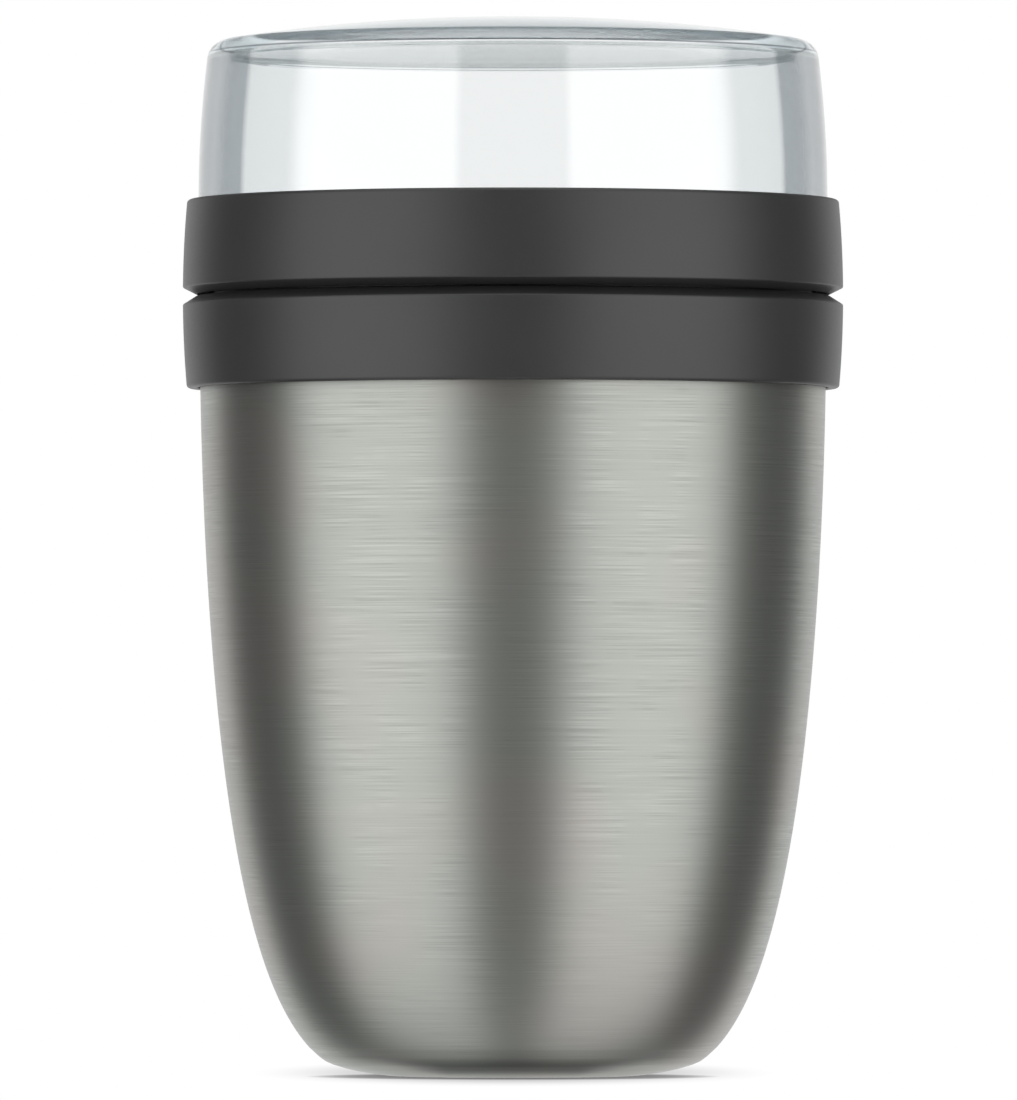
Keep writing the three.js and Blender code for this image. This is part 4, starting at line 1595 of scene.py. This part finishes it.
    def floor_material(self) -> bpy.types.Material:
        """Make the floor white to the eye, with a painted soft shadow and a contact shade from occlusion
        round the foot.

        Returns:
            The floor's material.
        """
        material = bpy.data.materials.new("studio_floor_white")
        material.use_nodes = True
        material.cycles.emission_sampling = "NONE"
        tree = material.node_tree
        tree.nodes.clear()
        open_sky = add_node(
            tree,
            "ShaderNodeAmbientOcclusion",
            {"Distance": self.contact_reach * MM},
            samples=self.contact_samples,
        ).outputs["AO"]
        coords = add_node(tree, "ShaderNodeTexCoord").outputs["Object"]
        # Painted shadow: a soft ellipse round and behind the foot, darkest near the pot and fading outwards.
        centre = (0.0, self.shadow_behind * MM, 0.0)
        away = add_node(tree, "ShaderNodeVectorMath", {0: coords, 1: centre}, operation="SUBTRACT").outputs[0]
        size = (self.shadow_size[0] * MM, self.shadow_size[1] * MM, 1.0)
        share = add_node(tree, "ShaderNodeVectorMath", {0: away, 1: size}, operation="DIVIDE").outputs[0]
        out = add_node(tree, "ShaderNodeVectorMath", {0: share}, operation="LENGTH").outputs["Value"]
        shade = add_node(
            tree,
            "ShaderNodeMapRange",
            {
                "Value": out,
                "From Min": self.shadow_range[0],
                "From Max": self.shadow_range[1],
                "To Min": self.shadow_light,
            },
            interpolation_type=Blur.SOFT.value,
        ).outputs[0]
        contact = add_node(
            tree, "ShaderNodeMapRange", {"Value": open_sky, "To Min": self.contact_light}
        ).outputs[0]
        light = add_node(tree, "ShaderNodeMath", {0: shade, 1: contact}, operation="MULTIPLY").outputs[0]
        lit = add_node(tree, "ShaderNodeEmission", {"Color": (1, 1, 1, 1), "Strength": light}).outputs[0]
        bounce = add_node(tree, "ShaderNodeBsdfDiffuse", {"Color": linear(self.floor_colour)}).outputs[0]
        seen = add_node(
            tree, "ShaderNodeMixShader", {0: self.plain_rays(tree), 1: bounce, 2: lit}
        ).outputs[0]

        # Painted shade: a ring at the front of the foot, where the floor lets less light through, stands in
        # for the pot's own shadow in the steel's reflections.
        from_axis = add_node(tree, "ShaderNodeVectorMath", {0: coords}, operation="LENGTH").outputs["Value"]
        from_foot = add_node(
            tree, "ShaderNodeMath", {0: from_axis, 1: self.foot_radius * MM}, operation="SUBTRACT"
        ).outputs[0]
        beside = add_node(tree, "ShaderNodeMath", {0: from_foot}, operation="ABSOLUTE").outputs[0]
        clear = add_node(
            tree,
            "ShaderNodeMapRange",
            {"Value": beside, "From Max": self.foot_width * MM, "To Min": self.foot_light},
            interpolation_type=Blur.SOFT.value,
        ).outputs[0]
        depth = add_node(tree, "ShaderNodeSeparateXYZ", {0: coords}).outputs["Y"]
        past_front = add_node(
            tree,
            "ShaderNodeMapRange",
            {"Value": depth, "From Min": self.foot_front[0] * MM, "From Max": self.foot_front[1] * MM},
            interpolation_type=Blur.SOFT.value,
        ).outputs[0]
        open_light = add_node(
            tree, "ShaderNodeMath", {0: clear, 1: past_front}, operation="MAXIMUM"
        ).outputs[0]
        through = add_node(tree, "ShaderNodeBsdfTransparent", {"Color": open_light}).outputs[0]

        # Reflections, shadow rays and a view from below pass through the floor to the tent, dimmed in the
        # painted ring of shade at the front of the foot.
        path = add_node(tree, "ShaderNodeLightPath").outputs
        open_ways = add_node(
            tree, "ShaderNodeMath", {0: path["Is Glossy Ray"], 1: path["Is Shadow Ray"]}, operation="MAXIMUM"
        ).outputs[0]
        from_below = add_node(tree, "ShaderNodeNewGeometry").outputs["Backfacing"]
        no_floor = add_node(
            tree, "ShaderNodeMath", {0: open_ways, 1: from_below}, operation="MAXIMUM"
        ).outputs[0]
        surface = add_node(tree, "ShaderNodeMixShader", {0: no_floor, 1: seen, 2: through}).outputs[0]
        add_node(tree, "ShaderNodeOutputMaterial", {"Surface": surface})
        return material

    def build(self) -> None:
        """Set the studio up."""
        self.place_camera()
        self.hang_tent()
        self.lay_floor()
        bpy.context.scene.view_settings.view_transform = "Standard"
        # Light runs along the inside of the clear cup's top, which takes many bounces to come out again.
        paths = bpy.context.scene.cycles
        paths.max_bounces = self.light_bounces
        paths.glossy_bounces = self.light_bounces
        paths.transmission_bounces = self.light_bounces


def main() -> None:
    """Build the pot from the base up, then the studio."""
    logging.basicConfig(level=logging.INFO, format="%(name)s: %(message)s")
    shop = Workshop()
    pot = SteelPot()
    collar = Collar()
    lid = Lid()
    cup = Cup()
    pot.build(shop)
    pot.dress(shop)
    collar.build(shop)
    collar.dress(shop)
    lid.build(shop)
    lid.dress(shop)
    cup.build(shop)
    Studio().build()


if __name__ == "__main__":
    main()
